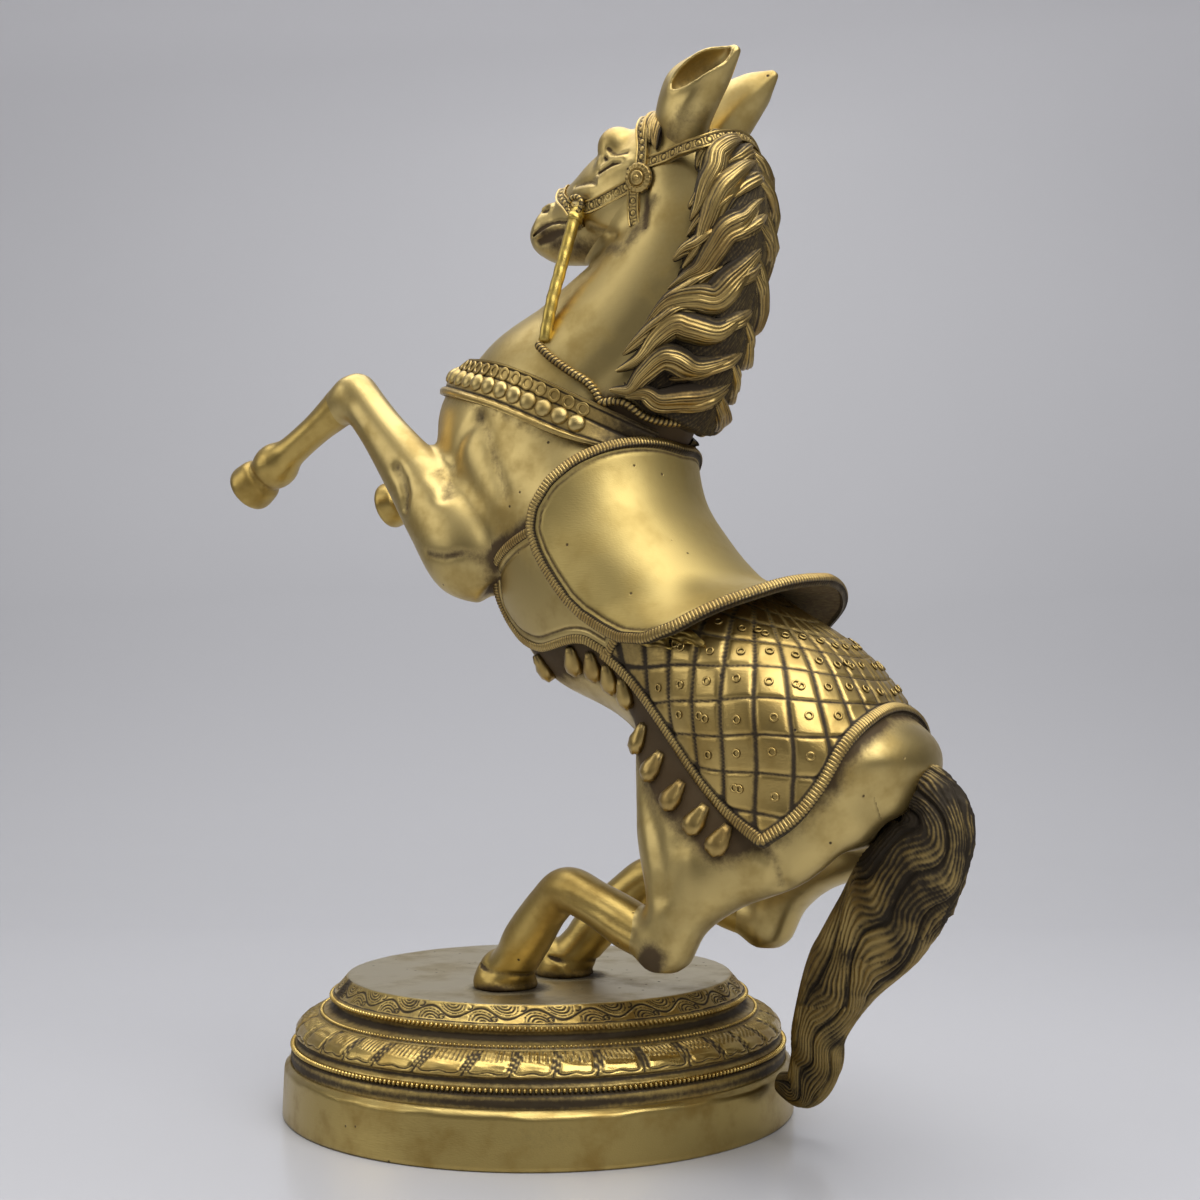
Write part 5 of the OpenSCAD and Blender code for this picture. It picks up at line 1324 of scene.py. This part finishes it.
rosette = stamp("rosette",
                dense([(0.05, -0.4), (4.1, -0.4), (4.25, 0.2), (4.0, 0.75), (3.2, 1.0), (2.7, 1.15), (2.4, 0.8),
                       (2.0, 1.3), (1.3, 1.55), (0.9, 1.35), (0.5, 1.75), (0.05, 1.85)], 0.3), 64, fluted)
places = np.array([skin(HEAD, rosette_u, s * rosette_phi, 1.1) for s in (-1, 1)])
outward = np.array([skin(HEAD, rosette_u, s * rosette_phi, 2.1) for s in (-1, 1)]) - places
trims("cheek_rosette_pair", rosette, places + HORSE, outward, np.array([[1.0, 0, 0]] * 2), (1, 1, 1.15), hair,
      "polished_brass", ["cheek_rosettes"])

# Reins
# A free brass rod from each side of the bit to the neck, brazed at both ends and left yellow, and a twisted rope of
# brass that lies on the neck.
route = [[33.8, 9, 223], [33.4, 13, 219.5], [32, 15.2, 211], [30.4, 17, 202], [28.9, 18.8, 193], [27.2, 19.8, 182]]
yellow = brass("brazed_yellow_brass", "#c4aa58", "#9f8440", "#3a2712", 0.33, stain=0.6, scratch=0.35, pit=0.3,
               grain=0.3)
for side, name in ((-1, "left"), (1, "right")):
    way = at(np.array(route) * [1, side, 1], np.linspace(0, len(route) - 1, 60))
    v, f, c = joined([rope(way, 1.85, 4.5, 0.12, seg=16, slant=1), rope(way[4:16], 2.4, 2.3, 0.2, seg=16, slant=1)])
    piece(name + "_rein_rod", v + HORSE, f, yellow, [name + "_rein"], 0.4 * c)
way = np.array([[25.7, 20.2, 181.5], [30.1, 20.8, 177.6], [34.2, 20.8, 174.5], [38.3, 20.2, 171.6],
                [42.2, 19.5, 169.0], [44.7, 18.6, 165.7], [46.2, 17.9, 163.1], [49.4, 16.7, 163.3],
                [52.5, 14.9, 162.6], [56.3, 12.1, 159.3], [60.8, 7.3, 158.2], [64.0, 2.0, 159.5]])
parts = []
for side in (-1, 1):
    t = np.linspace(0, len(way) - 1, 140)
    parts.append(rope(drape(at(way * [1, side, 1], t), np.interp(t, [5, 8], [0.8, 2.2])), 1.3, 1.3, 0.3, seg=14,
                      slant=1))
laid("rope_rein_twist", joined(parts), hair, "rope_rein")
for tool in (bead, drop, ring, dome, rosette):
    bpy.data.objects.remove(tool)

# Stage
# A pale glossy sheet that is both table and wall, lit by a broad window high on the right, a lamp overhead and
# a weak sky on the left.
cam = bpy.data.objects.new("camera", bpy.data.cameras.new("camera"))
cam.location = (0.29653, -0.39181, 0.1159)
turn = math.radians(35)
cam.rotation_euler = (math.radians(94.13), 0, turn)
cam.data.lens, cam.data.sensor_width = 48, 36
cam.data.clip_start = 0.01
bpy.context.scene.collection.objects.link(cam)
bpy.context.scene.camera = cam
bpy.context.scene.view_settings.view_transform = "Standard"


def shade_graded_board(name, low, high, rough):
    """Board darkened by painted shade at the table that rises to its own white up the wall, with a faint cloud so that
    neither looks flat.
    """
    m = bpy.data.materials.new(name)
    m.use_nodes = True
    t = m.node_tree
    bsdf = t.nodes["Principled BSDF"]
    pos = add(t, "ShaderNodeTexCoord").outputs["Object"]
    cloud = add(t, "ShaderNodeTexNoise", {"Vector": pos, "Scale": 3.0, "Detail": 2.0}).outputs["Fac"]
    height = add(t, "ShaderNodeSeparateXYZ", {0: pos}).outputs["Z"]
    drift = add(t, "ShaderNodeMath", {0: cloud, 1: 0.06, 2: height}, operation="MULTIPLY_ADD").outputs[0]
    share = add(t, "ShaderNodeMapRange", {"Value": drift, "From Min": 0.25, "From Max": 0.85}).outputs[0]
    tone = add(t, "ShaderNodeMix", {0: share, 6: lin(low), 7: lin(high)}, data_type="RGBA").outputs[2]
    t.links.new(tone, bsdf.inputs["Base Color"])
    bsdf.inputs["Roughness"].default_value = rough
    return m


ahead = np.array([-math.sin(turn), math.cos(turn), 0])
right = np.array([math.cos(turn), math.sin(turn), 0])
# One white sheet: a table that sweeps up behind in a wide curve, so that no edge shows
bend = np.radians(np.linspace(0, 90, 24))
reach = np.concatenate([[-1.6], np.linspace(-0.5, 0.4, 10), 0.4 + 0.7 * np.sin(bend[1:]), [1.1]])
climb = np.concatenate([np.zeros(11), 0.7 - 0.7 * np.cos(bend[1:]), [2.6]])
v = np.array([r * ahead + x * right + np.array([0, 0, z]) for r, z in zip(reach, climb) for x in (-3.0, 3.0)])
me = bpy.data.meshes.new("sweep")
me.from_pydata(v.tolist(), [], [(2 * i, 2 * i + 1, 2 * i + 3, 2 * i + 2) for i in range(len(reach) - 1)])
me.polygons.foreach_set("use_smooth", np.ones(len(me.polygons), bool))
me.materials.append(shade_graded_board("glossy_white_sheet", "#b6b6b9", "#f2f2f5", 0.22))
sweep = bpy.data.objects.new("sweep", me)
bpy.context.scene.collection.objects.link(sweep)


def lamp(name, place, size, power, colour="#ffffff"):
    l = bpy.data.lights.new(name, "AREA")
    l.shape, l.size, l.size_y, l.energy = "RECTANGLE", size[0], size[1], power
    l.color = lin(colour)[:3]
    o = bpy.data.objects.new(name, l)
    o.location = place
    aim = np.array([0.02, -0.015, 0.15]) - np.array(place)
    o.rotation_euler = Vector(aim).to_track_quat("-Z", "Y").to_euler()
    bpy.context.scene.collection.objects.link(o)


lamp("window_right", (0.62, -0.3, 0.78), (0.75, 0.85), 7)
lamp("lamp_overhead", (-0.1, 0.05, 0.95), (0.9, 0.9), 6)
lamp("sky_left", (-0.6, -0.7, 0.5), (0.6, 0.6), 1.6)
# The room: bright ceiling, dim walls, so that the metal has something to mirror
world = bpy.data.worlds.new("room")
world.use_nodes = True
t = world.node_tree
way = add(t, "ShaderNodeSeparateXYZ", {0: add(t, "ShaderNodeTexCoord").outputs["Generated"]}).outputs["Z"]
tone = add(t, "ShaderNodeValToRGB",
           {"Fac": add(t, "ShaderNodeMapRange", {"Value": way, "From Min": -1.0}).outputs[0]}).outputs[0]
stops = tone.node.color_ramp.elements
stops[0].color, stops[1].color = lin("#5e5c5a"), lin("#e4e4e8")
stops.new(0.5).color = lin("#4d4b4a")
stops.new(0.7).color = lin("#828184")
t.links.new(tone, t.nodes["Background"].inputs["Color"])
t.nodes["Background"].inputs["Strength"].default_value = 1.05
bpy.context.scene.world = world
